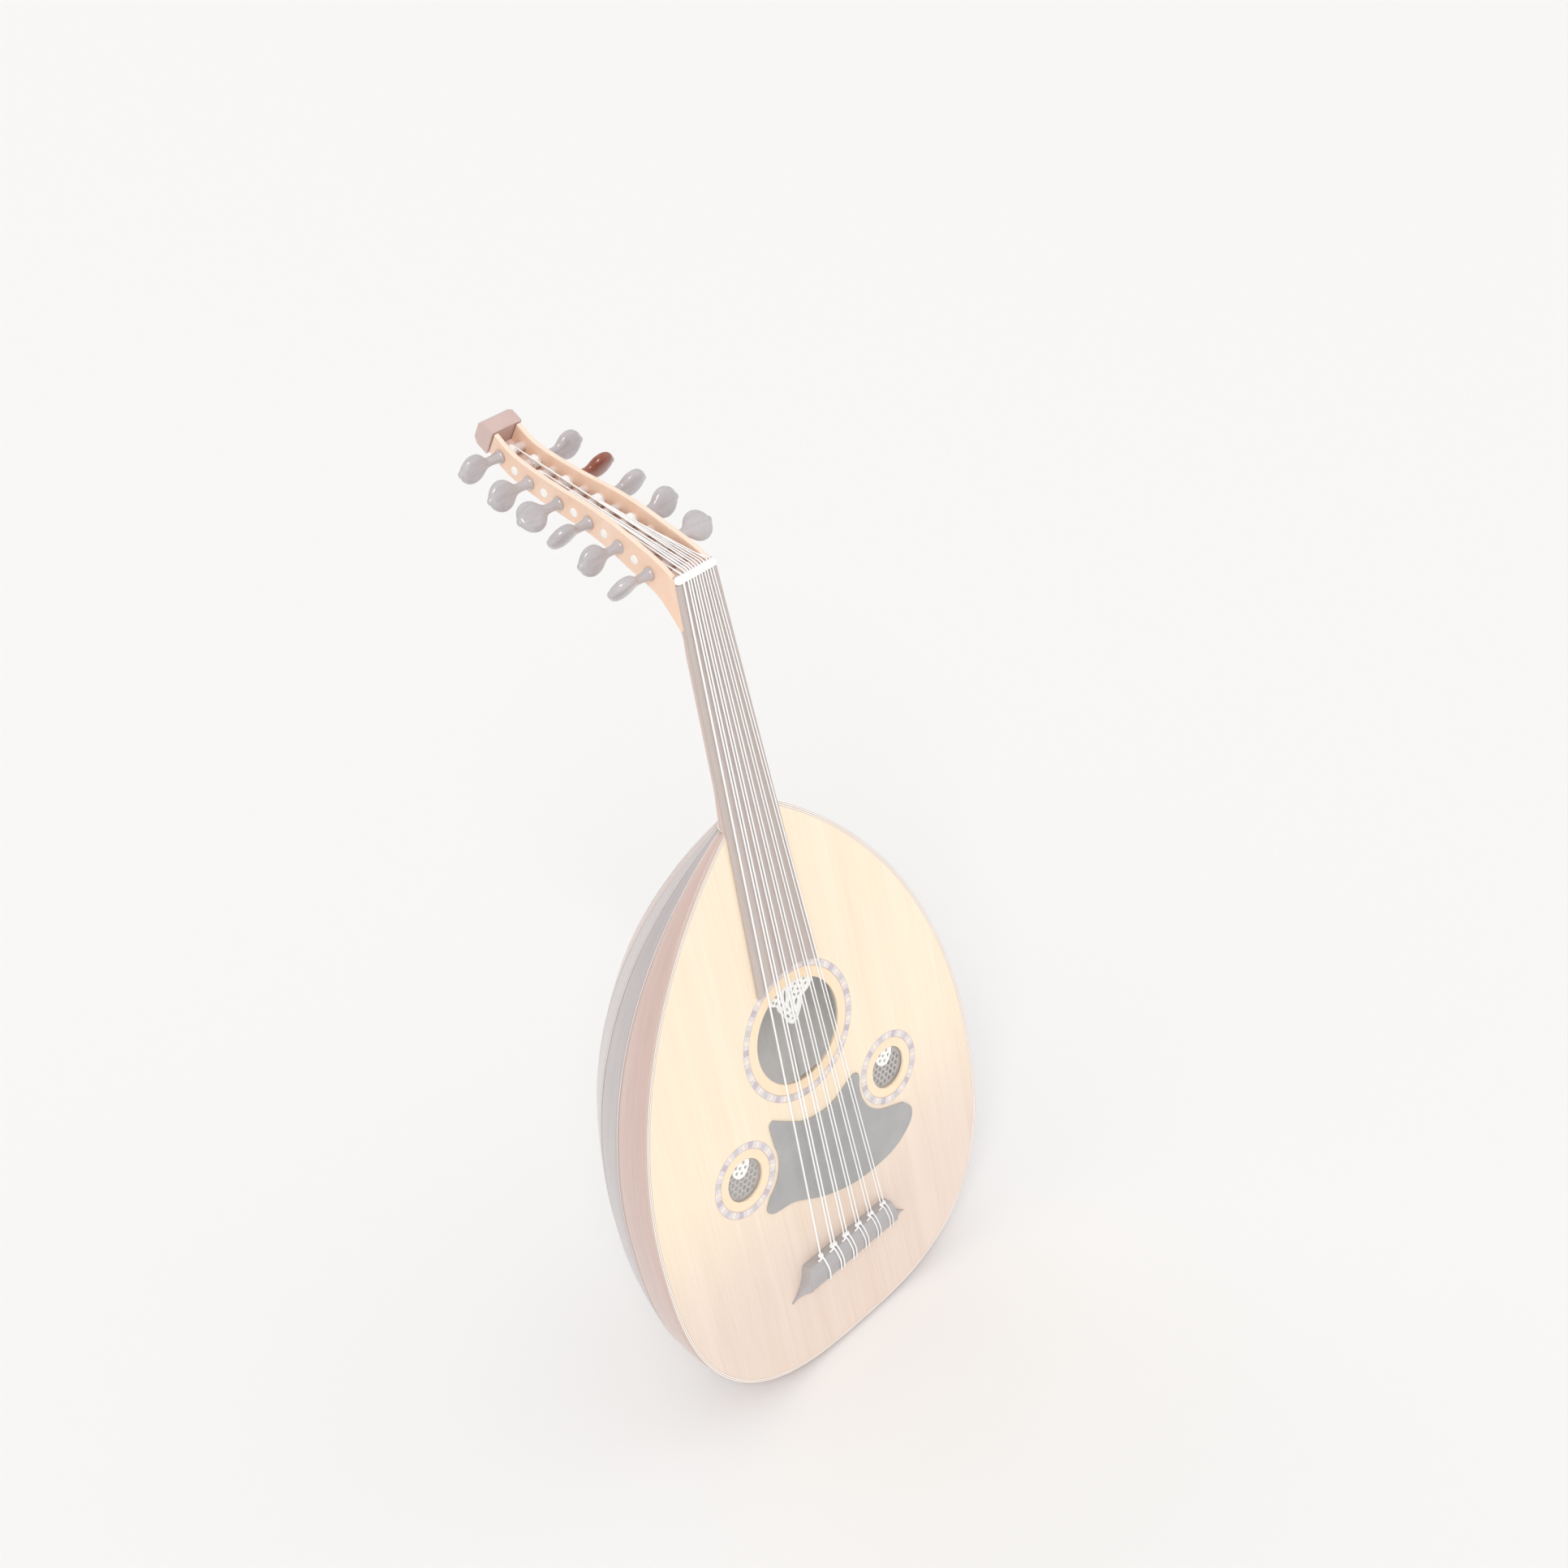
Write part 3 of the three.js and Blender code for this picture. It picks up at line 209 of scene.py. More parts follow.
def wood(name, tints, grain=1.5, figure=25.0, stretch=28.0, depth=0.12, roughness=0.4,
         across="x", uv=False, ior=1.5, **constants):
    """Planed wood: growth lines a grain width apart that run far along the piece, in broader
    bands a figure apart, both in mm, with pores between them and a sheen that drifts."""
    material, tree, shader = blank(name, roughness, ior, **constants)
    place = add(tree, "TexCoord").outputs["UV" if uv else "Object"]
    thin = 1 / stretch
    scale = (1, thin, 1) if uv else {"x": (1, 1, thin), "y": (thin, 1, 1)}[across]
    run = add(tree, "Mapping", {"Vector": place, "Scale": scale}).outputs["Vector"]
    drift = add(tree, "TexNoise", {"Vector": run, "Scale": 1000 / figure, "Detail": 3.0})
    bent = add(tree, "MixRGB", {"Fac": 0.02, "Color1": run, "Color2": drift.outputs["Color"]})
    lines = add(tree, "TexNoise", {
        "Vector": bent.outputs["Color"], "Scale": 1000 / grain, "Detail": 4.0, "Roughness": 0.6,
    })
    pores = add(tree, "TexNoise", {"Vector": run, "Scale": 3600 / grain, "Detail": 2.0})
    mixed = add(tree, "MixRGB", {
        "Fac": 0.55, "Color1": lines.outputs["Fac"], "Color2": drift.outputs["Fac"],
    })
    with_pores = add(tree, "MixRGB", {
        "Fac": 0.18, "Color1": mixed.outputs["Color"], "Color2": pores.outputs["Fac"],
    })
    add(tree, "ValToRGB", {"Fac": with_pores.outputs["Color"]}, tints,
        to=shader.inputs["Base Color"])
    add(tree, "MapRange", {
        "Value": drift.outputs["Fac"], "To Min": roughness - 0.07, "To Max": roughness + 0.07,
    }, to=shader.inputs["Roughness"])
    add(tree, "Bump", {
        "Height": lines.outputs["Fac"], "Strength": depth, "Distance": 0.0004,
    }, to=shader.inputs["Normal"])
    return material


def soundboard_spruce():
    """Quarter-sawn spruce under thin shellac: fine straight lines and a low sheen, cream by
    the neck and pinker by the tail."""
    material = wood("shellacked_spruce", ("#F3DFC4", "#FAE9D0", "#FFF1DD"), grain=1.6, figure=22,
                    stretch=60, depth=0.05, roughness=0.42, Coat_Weight=0.15)
    tree = material.node_tree
    shader = tree.nodes["Principled BSDF"]
    cream = shader.inputs["Base Color"].links[0].from_socket
    grain = cream.node.inputs["Fac"].links[0].from_socket
    pink = add(tree, "ValToRGB", {"Fac": grain}, ("#E2CBBB", "#EAD7C9", "#F0E0D4"))
    place = add(tree, "TexCoord").outputs["Object"]
    height = add(tree, "SeparateXYZ", {"Vector": place}).outputs["Z"]
    toward_tail = add(tree, "MapRange", {
        "Value": height, "From Min": at(0, 0, -50).z, "From Max": at(0, 0, -215).z,
    }, interpolation_type="SMOOTHSTEP")
    add(tree, "MixRGB", {
        "Fac": toward_tail.outputs["Result"], "Color1": cream, "Color2": pink.outputs["Color"],
    }, to=shader.inputs["Base Color"])
    return material


def mottled(name, tints, patches, roughness, ior, detail=3.0, drift=0.0, depth=0.0,
            span=(0.3, 0.7), **constants):
    """A smooth material, cloudy with so many patches to the metre, whose roughness drifts by
    a share either way and whose surface has a depth of unevenness."""
    material, tree, shader = blank(name, roughness, ior, **constants)
    place = add(tree, "TexCoord").outputs["Object"]
    clouds = add(tree, "TexNoise", {"Vector": place, "Scale": patches, "Detail": detail})
    cloud = clouds.outputs["Fac"]
    add(tree, "ValToRGB", {"Fac": cloud}, tints, span, shader.inputs["Base Color"])
    if drift:
        add(tree, "MapRange", {
            "Value": cloud, "To Min": roughness - drift, "To Max": roughness + drift,
        }, to=shader.inputs["Roughness"])
    if depth:
        add(tree, "Bump", {
            "Height": cloud, "Strength": depth, "Distance": 0.0003,
        }, to=shader.inputs["Normal"])
    return material


def twisted_nylon():
    """Monofilament and silver-wound nylon: white, with a fine twist that catches the light."""
    material, tree, shader = blank("wound_nylon", 0.3, 1.53, Coat_Weight=0.2)
    place = add(tree, "TexCoord").outputs["Object"]
    # The real winding is 0.2 mm wide, and it is drawn 0.9 mm wide so that it shows
    twist = add(tree, "TexWave", {"Vector": place, "Scale": 350.0, "Distortion": 1.5},
                bands_direction="Z")
    add(tree, "ValToRGB", {"Fac": twist.outputs["Fac"]}, ("#F8F7F5", "#FFFFFF"), (0.2, 0.6),
        shader.inputs["Base Color"])
    add(tree, "Bump", {
        "Height": twist.outputs["Fac"], "Strength": 0.3, "Distance": 0.0002,
    }, to=shader.inputs["Normal"])
    return material


SPRUCE = soundboard_spruce()
# Cattle bone, filed and polished: ivory white, faintly mottled every 4 mm, with a soft gloss
BONE = mottled("polished_bone", ("#F9F6EF", "#FFFFFF"), 260.0, 0.28, 1.54,
               detail=4.0, depth=0.08, Subsurface_Weight=0.08, Subsurface_Scale=0.002)
# Black celluloid sheet, sanded and buffed: smooth, with broad faint swirls in its gloss
CELLULOID = mottled("buffed_celluloid", ("#A5A4A4", "#AFAEAE"), 45.0, 0.31, 1.5,
                    drift=0.07, Coat_Weight=0.3)
NYLON = twisted_nylon()
# Spruce inside the bowl, left as it comes from the saw: matt and a little rough
INNER_SPRUCE = wood("sawn_spruce", ("#D9C6AC", "#EBDCC4"), roughness=0.7)
# Maple let into the face and sanded with it: plainer and warmer than the spruce round it
BAND_MAPLE = wood("inlaid_maple", ("#F8DEBC", "#FDEACF"),
                  grain=2.5, depth=0.04, roughness=0.4, Coat_Weight=0.15)
# Strips of holly and walnut veneer, scraped flush: crisp white and brown lines, almost smooth
PURFLING = wood("white_holly_line", ("#FBF6EE", "#FFFFFF"),
                depth=0.03, roughness=0.4)
PURFLING_DARK = wood("walnut_line", ("#CDB6A8", "#DCC9BD"),
                     depth=0.03, roughness=0.4)
# Ebony rubbed with oil: fine close pores, long straight streaks and a low sheen
EBONY_BOARD = wood("oiled_ebony_board", ("#B7AAA4", "#CEC2BC"),
                   grain=0.9, stretch=40, depth=0.1, roughness=0.38, Coat_Weight=0.1)
EBONY_BRIDGE = wood("oiled_ebony_bridge", ("#A9A5A6", "#BCB8B8"),
                    grain=0.9, stretch=20, depth=0.1, roughness=0.36, across="y", ior=1.52)
# Mahogany rubbed with oil: open pores drawn out along the neck, and a hand-worn shine
MAHOGANY_NECK = wood("oiled_mahogany", ("#CBAFA4", "#D8BFB4", "#E4D0C7"),
                     grain=1.1, stretch=35, depth=0.12, roughness=0.4, Coat_Weight=0.15)
# Steamed beech, sawn to a curve and varnished: short flecks under a clear soft gloss
BEECH_PEGBOX = wood("varnished_beech", ("#F5CBAE", "#F9D6BD", "#FCE0CC"),
                    grain=1.3, figure=16, stretch=12, depth=0.1, roughness=0.36,
                    Coat_Weight=0.25)
# The same beech inside the pegbox, where one thin coat leaves it pinker and duller
BEECH_FLOOR = wood("varnished_beech_floor", ("#F0D2C4", "#F8DED3"),
                   grain=1.3, stretch=12, depth=0.1, roughness=0.42)
# Strips on the cheeks' front edges, coloured lighter than the beech as a painted highlight: a light
# line where those edges catch the light
EDGE_HIGHLIGHT_PAINT = wood("painted_highlight_edge", ("#F8DCC3", "#FDEBDA"),
                  grain=1.2, stretch=12, depth=0.05, roughness=0.36, Coat_Weight=0.2)
# A rosewood block, sanded and varnished: close grain, and clear highlights on its bevels
ROSEWOOD_HEAD = wood("varnished_rosewood_head", ("#C9ADA5", "#D8BEB7"),
                     grain=1.0, stretch=10, depth=0.08, roughness=0.32, Coat_Weight=0.3)
# Staves bent over heat, scraped and varnished: grain along each stave under a high gloss
RIB_FINISH = {"grain": 1.4, "stretch": 30, "depth": 0.06, "roughness": 0.3, "uv": True,
              "Coat_Weight": 0.4, "Coat_Roughness": 0.12}
WALNUT_RIB, MAHOGANY_RIB, PALE_WALNUT_RIB = (
    wood(name, tints, **RIB_FINISH) for name, *tints in (
        ("varnished_walnut_rib", "#AEA4A4", "#BCB3B3", "#CAC2C2"),
        ("varnished_mahogany_rib", "#C7A9A0", "#D3B9B0", "#DECAC2"),
        ("varnished_pale_walnut_rib", "#C0B5B3", "#CCC3C1", "#D8D0CE"),
    )
)
RIB_WOODS = [MAHOGANY_RIB, WALNUT_RIB, PALE_WALNUT_RIB]  # from the face's edge to the middle
# Maple lines between the staves: a pale hairline under the same gloss
RIB_LINE = wood("maple_rib_line", ("#E4D8D0", "#EFE6DF"),
                depth=0.03, roughness=0.32, Coat_Weight=0.4)
# Lathe-turned pegs, polished on the lathe: small figure and sharp bright highlights
PEG_FINISH = {"grain": 1.6, "figure": 9, "stretch": 8, "depth": 0.05, "roughness": 0.2,
              "across": "y", "Coat_Weight": 0.6, "Coat_Roughness": 0.06}
EBONY_PEG = wood("polished_ebony_peg", ("#ADA6A8", "#BCB6B8", "#CBC6C7"), **PEG_FINISH)
ROSEWOOD_PEG = wood("polished_rosewood_peg", ("#6B3324", "#8E4C38", "#AE6A50"), **PEG_FINISH)
# The shank is rubbed with chalk so that it grips: dry, pale and without shine
CHALKED_SHANK = wood("chalked_peg_shank", ("#D8C9C4", "#E8DCD7"),
                     grain=1.6, stretch=8, depth=0.08, roughness=0.7, across="y")
# A pierced plate cut through with a fret saw, coloured dark as painted shade for the part of each
# small rosette that lies in shade: smooth and nearly matt
GRILLE_SHADE_PAINT = wood("grille_painted_shade", ("#BBB7B6", "#C9C5C4"),
                   depth=0.03, roughness=0.5)
# The inner face of every stave, coloured neutral grey as painted shade for the dark of the bowl
# seen through the soundholes: matt, with wrinkles. Its fibre lines, really under 1 mm apart, are
# drawn 6 mm apart so that they show.
INSIDE_SHADE_GREY = wood("bowl_inside_painted_shade", ("#C4C6C8", "#D6D8DA"),
                    grain=6, stretch=3, depth=0.1, roughness=0.85, uv=True)
# Mother-of-pearl and maple, sanded flush: each tile is cloudy, with a soft shine
TILES = [
    mottled(name, (dark, light), 420.0, 0.3, 1.53, span=(0.35, 0.65), Coat_Weight=0.2)
    for name, dark, light in (
        ("mauve_shell_tile", "#C2B6BD", "#CFC5CB"), ("lilac_shell_tile", "#DDD4D7", "#E8E0E1"),
        ("cream_maple_tile", "#EFE3D7", "#F6ECE1"), ("grey_shell_tile", "#CBC3C5", "#D9D2D3"),
    )
]


# ---------------------------------------------------------------- making pieces


def eased(value, power):
    """A sine or cosine raised to a power, with its sign: below 1 it makes a round squarer."""
    return math.copysign(abs(value) ** power, value)


def new_object(name, data):
    made = bpy.data.objects.new(name, data)
    bpy.context.scene.collection.objects.link(made)
    return made


def finish_piece(bm, name, materials, replaces=(), body=BODY, sharp=35, bevel=0.0,
                 solid=0.0, segments=2):
    """Turns a bmesh into a piece that rides on its body, with its finish and its last modifiers."""
    mesh = bpy.data.meshes.new(name)
    bm.to_mesh(mesh)
    bm.free()
    for material in materials if isinstance(materials, list) else [materials]:
        mesh.materials.append(material)
    mesh.shade_smooth()
    mesh.set_sharp_from_angle(angle=math.radians(sharp))
    piece = new_object(name, mesh)
    if solid:
        sheet = piece.modifiers.new("thickness", "SOLIDIFY")
        sheet.thickness = solid * MM
        sheet.offset = -1
    if bevel:
        soften(piece, bevel, segments)
    hand_over(piece, replaces, body)
    return piece


def hand_over(piece, replaces, body):
    """Puts the piece on the body it rides on and hides the CAD nodes that it stands for."""
    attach(piece, body)
    if replaces:
        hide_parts(*replaces)


def soften(piece, width, segments):
    """Rounds the piece's edges a little, as sandpaper does."""
    bevel = piece.modifiers.new("eased edges", "BEVEL")
    bevel.width = width * MM
    bevel.segments = segments
    bevel.limit_method = "ANGLE"
    bevel.angle_limit = math.radians(35)
    bevel.harden_normals = True


def skin(around, along, place, wrap=True, caps=True):
    """A grid of around by along faces, laid where place(u, v) says, in millimetres."""
    bm = bmesh.new()
    bm.loops.layers.uv.new("UVMap")
    bmesh.ops.create_grid(bm, x_segments=around, y_segments=along, size=0.5, calc_uvs=True)
    for vert in bm.verts:
        u, v = vert.co.x + 0.5, vert.co.y + 0.5
        vert.co = at(*place(min(max(u, 0), 1), min(max(v, 0), 1)))
    if wrap:
        bmesh.ops.remove_doubles(bm, verts=bm.verts, dist=2e-6)
    if caps:
        rim = [edge for edge in bm.edges if edge.is_boundary]
        bmesh.ops.holes_fill(bm, edges=rim, sides=0)
    bmesh.ops.recalc_face_normals(bm, faces=bm.faces)
    return bm


def size_uv(bm, width, length, start=0.0):
    """Scales the UV map to metres on the piece, so that grain keeps its real size."""
    layer = bm.loops.layers.uv.active
    for face in bm.faces:
        for loop in face.loops:
            u, v = loop[layer].uv
            loop[layer].uv = (start + u * width * MM, start + v * length * MM)


def plate(loops, front, back):
    """A flat plate parallel to the face: the first loop of (x, z) is its outline, and the
    others are holes."""
    bm = bmesh.new()
    edges = []
    for loop in loops:
        verts = [bm.verts.new(at(x, front, z)) for x, z in loop]
        edges += [bm.edges.new(pair) for pair in zip(verts, verts[1:] + verts[:1])]
    bmesh.ops.triangle_fill(bm, edges=edges, use_beauty=True, normal=(0, -1, 0))
    thicken(bm, back - front)
    return bm


def thicken(bm, depth):
    """Makes a flat sheet a board that reaches a depth back from it, in millimetres."""
    grown = bmesh.ops.extrude_face_region(bm, geom=bm.faces[:])
    moved = [item for item in grown["geom"] if isinstance(item, bmesh.types.BMVert)]
    bmesh.ops.translate(bm, verts=moved, vec=(0, depth * MM, 0))
    bmesh.ops.recalc_face_normals(bm, faces=bm.faces)


def circle(x, z, radius, count=128, start=0.0, end=360.0):
    """Points of a circle, or of an arc from start to end in degrees with both its ends."""
    points = count if end - start == 360 else count + 1
    angles = [math.radians(lerp(start, end, i / count)) for i in range(points)]
    return [(x + radius * math.cos(a), z + radius * math.sin(a)) for a in angles]


def oval(x, z, half_length, half_width, turn, count=20):
    """A slit's outline: half_length lies along the angle turn, in degrees."""
    c, s = math.cos(math.radians(turn)), math.sin(math.radians(turn))
    points = []
    for px, pz in circle(0, 0, 1, count):
        a, b = px * half_length, pz * half_width
        points.append((x + a * c - b * s, z + a * s + b * c))
    return points


def between(points, span, share):
    """A point of the smooth curve through points, a share of the way along one span of it."""
    last = len(points) - 1
    four = [points[min(max(span + k, 0), last)] for k in (-1, 0, 1, 2)]
    return tuple(
        0.5 * (2 * b + (c - a) * share + (2 * a - 5 * b + 4 * c - d) * share * share
               + (3 * b - a - 3 * c + d) * share ** 3)
        for a, b, c, d in zip(*four)
    )


def curve_through(points, steps=8):
    """A smooth line through the points, both ends kept."""
    spans = range(len(points) - 1)
    made = [between(points, span, step / steps) for span in spans for step in range(steps)]
    return [*made, tuple(points[-1])]


def thread(name, lines, radius, replaces=(), body=BODY):
    """Round nylon threads along lines of (x, y, z) in millimetres."""
    curve = bpy.data.curves.new(name, "CURVE")
    curve.dimensions = "3D"
    curve.bevel_depth = radius * MM
    curve.bevel_resolution = 3
    curve.use_fill_caps = True
    for line in lines:
        spline = curve.splines.new("POLY")
        spline.points.add(len(line) - 1)
        for point, place in zip(spline.points, line):
            point.co = (*at(*place), 1)
    curve.materials.append(NYLON)
    hand_over(new_object(name, curve), replaces, body)


# ---------------------------------------------------------------- the face's outline

FLANK_STEPS = 60
TAIL_STEPS = 80


def half_outline(end_half_width=0.0):
    """Half of the face's outline from the neck joint to the tail, as (half-width, z)."""
    rise = JOINT_Z - WIDEST_Z
    inset = FACE_HALF_WIDTH - JOINT_HALF_WIDTH
    radius = (rise * rise + inset * inset) / (2 * inset)
    reach = math.asin(rise / radius)
    points = []
    for i in range(FLANK_STEPS + 1):
        angle = reach * (1 - i / FLANK_STEPS)
        points.append((
            FACE_HALF_WIDTH - radius * (1 - math.cos(angle)), WIDEST_Z + radius * math.sin(angle),
        ))
    power = 2 / TAIL_FULLNESS
    end = math.acos((end_half_width / FACE_HALF_WIDTH) ** (1 / power))
    for i in range(1, TAIL_STEPS + 1):
        angle = end * i / TAIL_STEPS
        points.append((
            FACE_HALF_WIDTH * max(math.cos(angle), 0) ** power,
            WIDEST_Z - TAIL_DROP * math.sin(angle) ** power,
        ))
    return points


def inset_outline(points, distance):
    """The half outline moved in by a distance, its first point kept at its height."""
    made = []
    for i, (x, z) in enumerate(points):
        before, after = points[max(i - 1, 0)], points[min(i + 1, len(points) - 1)]
        along = Vector((after[0] - before[0], after[1] - before[1])).normalized()
        made.append((max(x + along.y * distance, 0), z - along.x * distance))
    made[0] = (made[0][0], points[0][1])
    return made


def whole_outline(distance):
    half = inset_outline(half_outline(), distance)
    return [*((-x, z) for x, z in half[:-1]), *reversed(half)]


def edge_strip(outer, inner):
    """A strip that follows the face's edge, open at the neck."""
    return [*whole_outline(outer), *reversed(whole_outline(inner))]


# ---------------------------------------------------------------- face


def make_face():
    """The spruce face with its three holes, and the lines of veneer round its edge."""
    strips = [  # how far its outer and inner edges lie from the face's edge
        ("edge_line_outer", 0.0, 0.5, PURFLING_DARK), ("edge_line_white_outer", 0.5, 1.1, PURFLING),
        ("edge_line_walnut", 1.1, 1.9, PURFLING_DARK),
        ("edge_line_white_inner", 1.9, 2.5, PURFLING), ("edge_line_inner", 2.5, 3.1, PURFLING_DARK),
    ]
    holes = [circle(0, 0, RING_OUTER + GAP)]
    for side in (-1, 1):
        holes.append(circle(side * SMALL_HOLE_X, SMALL_HOLE_Z, SMALL_RING_OUTER + GAP, 96))
    board = plate([whole_outline(strips[-1][2]), *holes], 0, FACE_THICKNESS)
    finish_piece(board, "spruce_face", SPRUCE, ["soundboard"])
    for name, outer, inner, material in strips:
        strip = plate([edge_strip(outer, inner)], 0, RIM_Y)
        finish_piece(strip, name, material, ["edge_binding"])


TILE_LENGTHS = [5.0, 3.6, 2.6, 3.8]
TILE_KINDS = [0, 1, 2, 1, 3, 1, 2, 1]  # which finish of TILES each tile in turn has
TILE_STEPS = 3
LINE_WIDTH = 0.5
INLAY_DEPTH = 1


def make_soundhole(name, x, z, hole, inner, outer, tile_count):
    """The maple band round a soundhole, and the ring of shell tiles round the band."""
    count = 128 if hole > 30 else 96
    band = plate([circle(x, z, inner, count), circle(x, z, hole, count)], 0, FACE_THICKNESS)
    finish_piece(band, f"maple_band_{name}", BAND_MAPLE, bevel=0.3)
    tiles_inner, tiles_outer = inner + LINE_WIDTH, outer + GAP - LINE_WIDTH
    for edge, far, near in (("inner", tiles_inner, inner), ("outer", outer + GAP, tiles_outer)):
        line = plate([circle(x, z, far, count), circle(x, z, near, count)], 0, INLAY_DEPTH)
        finish_piece(line, f"ring_line_{edge}_{name}", PURFLING_DARK)
    tiles = tile_count * len(TILE_LENGTHS)
    ends = [0.0]
    for i in range(tiles):
        share = TILE_LENGTHS[i % len(TILE_LENGTHS)] / sum(TILE_LENGTHS) / tile_count
        ends.append(ends[-1] + share * 2 * math.pi)

    def place(u, v):
        tile, part = divmod(round(u * tiles * TILE_STEPS), TILE_STEPS)
        angle = lerp(ends[tile], ends[min(tile + 1, tiles)], part / TILE_STEPS)
        reach = lerp(tiles_inner, tiles_outer, v)
        return x + reach * math.cos(angle), 0, z + reach * math.sin(angle)

    bm = skin(tiles * TILE_STEPS, 1, place, caps=False)
    middle = at(x, 0, z)
    for face in bm.faces:
        spoke = face.calc_center_median() - middle
        tile = bisect.bisect(ends, math.atan2(spoke.z, spoke.x) % (2 * math.pi)) - 1
        face.material_index = TILE_KINDS[tile % len(TILE_KINDS)]
    thicken(bm, INLAY_DEPTH)
    finish_piece(bm, f"shell_ring_{name}", TILES, [f"mosaic_ring_{name}"])


def make_main_rosette():
    """The pierced bone palmette in the top of the large soundhole."""
    r = HOLE_RADIUS
    rim = circle(0, 0, 1.06, 24, 54, 118)
    lower = curve_through([
        rim[-1], (-0.43, 0.76), (-0.317, 0.683), (-0.30, 0.583), (-0.217, 0.433), (-0.15, 0.267),
        (-0.03, 0.15), (0.1, 0.2), (0.183, 0.3), (0.267, 0.433), (0.3, 0.55), (0.47, 0.62),
        (0.585, 0.72), rim[0],
    ])
    outline = [(x * r, z * r) for x, z in rim[:-1] + lower[:-1]]
    slits = [  # x, z, half-length, half-width and turn in degrees, as shares of the hole's radius
        (-0.08, 0.77, 0.12, 0.026, 78), (0.105, 0.79, 0.06, 0.026, 35),
        (0.115, 0.69, 0.055, 0.024, -38), (0.13, 0.515, 0.085, 0.034, 55),
        (0.0, 0.545, 0.09, 0.024, 92), (0.235, 0.645, 0.042, 0.022, 20),
        (-0.175, 0.51, 0.055, 0.024, 62), (-0.105, 0.36, 0.052, 0.022, 122),
        (0.085, 0.34, 0.045, 0.022, 66), (-0.01, 0.26, 0.03, 0.02, 0),
        (-0.2, 0.66, 0.045, 0.022, 118), (-0.09, 0.49, 0.035, 0.018, 95),
    ]
    dots = [  # x, z and radius
        (-0.295, 0.745, 0.03), (-0.215, 0.79, 0.028), (-0.36, 0.8, 0.028), (-0.15, 0.93, 0.026),
        (0.34, 0.7, 0.03), (0.245, 0.74, 0.028), (0.33, 0.82, 0.03), (0.44, 0.74, 0.028),
        (0.2, 0.87, 0.026), (0.03, 0.92, 0.026), (-0.27, 0.87, 0.028), (0.23, 0.96, 0.02),
        (0.04, 0.21, 0.015), (0.42, 0.85, 0.024), (0.03, 0.69, 0.02), (-0.01, 0.37, 0.018),
    ]
    holes = [oval(x * r, z * r, a * r, b * r, turn) for x, z, a, b, turn in slits]
    holes += [circle(x * r, z * r, size * r, 12) for x, z, size in dots]
    bone = plate([outline, *holes], RIM_Y, RIM_Y + 0.8)
    finish_piece(bone, "bone_palmette", BONE, ["rosette_main"], bevel=0.1, segments=1)


def make_small_rosette(name, side):
    """The pierced bone shield in a small soundhole, which is the rosette's part in light, and the
    grille behind it, coloured dark as painted shade for the rosette's part in shade.
    """
    r = SMALL_HOLE_RADIUS
    cx = side * SMALL_HOLE_X
    # The shield's outline is cut along the edge of the light on the rosette
    rim = circle(0, 0, 1.12, 16, 60, 124)
    lower = curve_through([
        rim[-1], (-0.5, 0.66), (-0.46, 0.4), (-0.26, 0.18), (0.02, 0.1), (0.3, 0.26), (0.5, 0.56),
        rim[0],
    ], 6)
    outline = [(cx + x * r, SMALL_HOLE_Z + z * r) for x, z in rim[:-1] + lower[:-1]]
    dots = [(-0.26, 0.46), (0.0, 0.32), (0.27, 0.48), (-0.03, 0.6), (0.22, 0.76), (-0.24, 0.76)]
    holes = [circle(cx + x * r, SMALL_HOLE_Z + z * r, 0.085 * r, 12) for x, z in dots]
    bone = plate([outline, *holes], RIM_Y, RIM_Y + 1.5)
    finish_piece(bone, f"lit_bone_shield_{name}", BONE, [f"rosette_{name}"],
                 bevel=0.12, segments=1)
    # The grille fills the rest of the hole and is coloured dark as painted shade
    pitch, hexagon = 5.0, 2.05  # between the grille's cells, and from a cell's middle to its corner
    cells = []
    for row in range(-4, 5):
        for column in range(-5, 6):
            x = (column + 0.5 * (row % 2)) * pitch
            z = row * pitch * math.sqrt(3) / 2
            if math.hypot(x, z) < r - 1.2:
                cells.append(circle(cx + x, SMALL_HOLE_Z + z, hexagon, 6, 30, 390))
    grille = plate([circle(cx, SMALL_HOLE_Z, r + 3, 64), *cells], RIM_Y + 1.6, RIM_Y + 2.4)
    finish_piece(grille, f"shaded_grille_{name}", GRILLE_SHADE_PAINT)


def make_pickguard():
    scoop = SMALL_RING_OUTER + 3.3
    outline = curve_through([(-43, -56), (-47.5, -58), (-48, -66)])
    outline += circle(-SMALL_HOLE_X, SMALL_HOLE_Z, scoop, 24, 14, -58)
    outline += curve_through([
        outline[-1], (-68, -126), (-62, -132.5), (-41, -136.5), (-12, -151.5), (18, -161),
        (44, -163), (70, -160), (90, -149), (95, -137), (88, -127),
    ])[1:]
    outline += circle(SMALL_HOLE_X, SMALL_HOLE_Z, scoop, 30, -108, -200)
    outline += curve_through([
        outline[-1], (47, -70.5), (40, -70), (20, -78), (5, -79.5), (-14, -75.5), (-30, -65.5),
        (-43, -56),
    ])[1:-1]
    guard = plate([outline], -1.5, -0.05)
    finish_piece(guard, "celluloid_guard", CELLULOID, ["pickguard"], bevel=0.45)


# ---------------------------------------------------------------- bowl


def bowl_ratio(z):
    """The bowl's depth over its half-width, which is less near the neck."""
    flattening = BOWL_NECK_FLATTENING * math.exp((z - JOINT_Z) / BOWL_FLATTENING_REACH)
    return BOWL_DEPTH_RATIO - flattening


def bowl_point(half_width, z, angle, out=0.0):
    """A point of the bowl's outside: angle 0 is the left edge of the face, pi the right."""
    reach = half_width + out
    return (
        -reach * math.cos(angle), RIM_Y + bowl_ratio(z) * reach * math.sin(angle), z,
    )


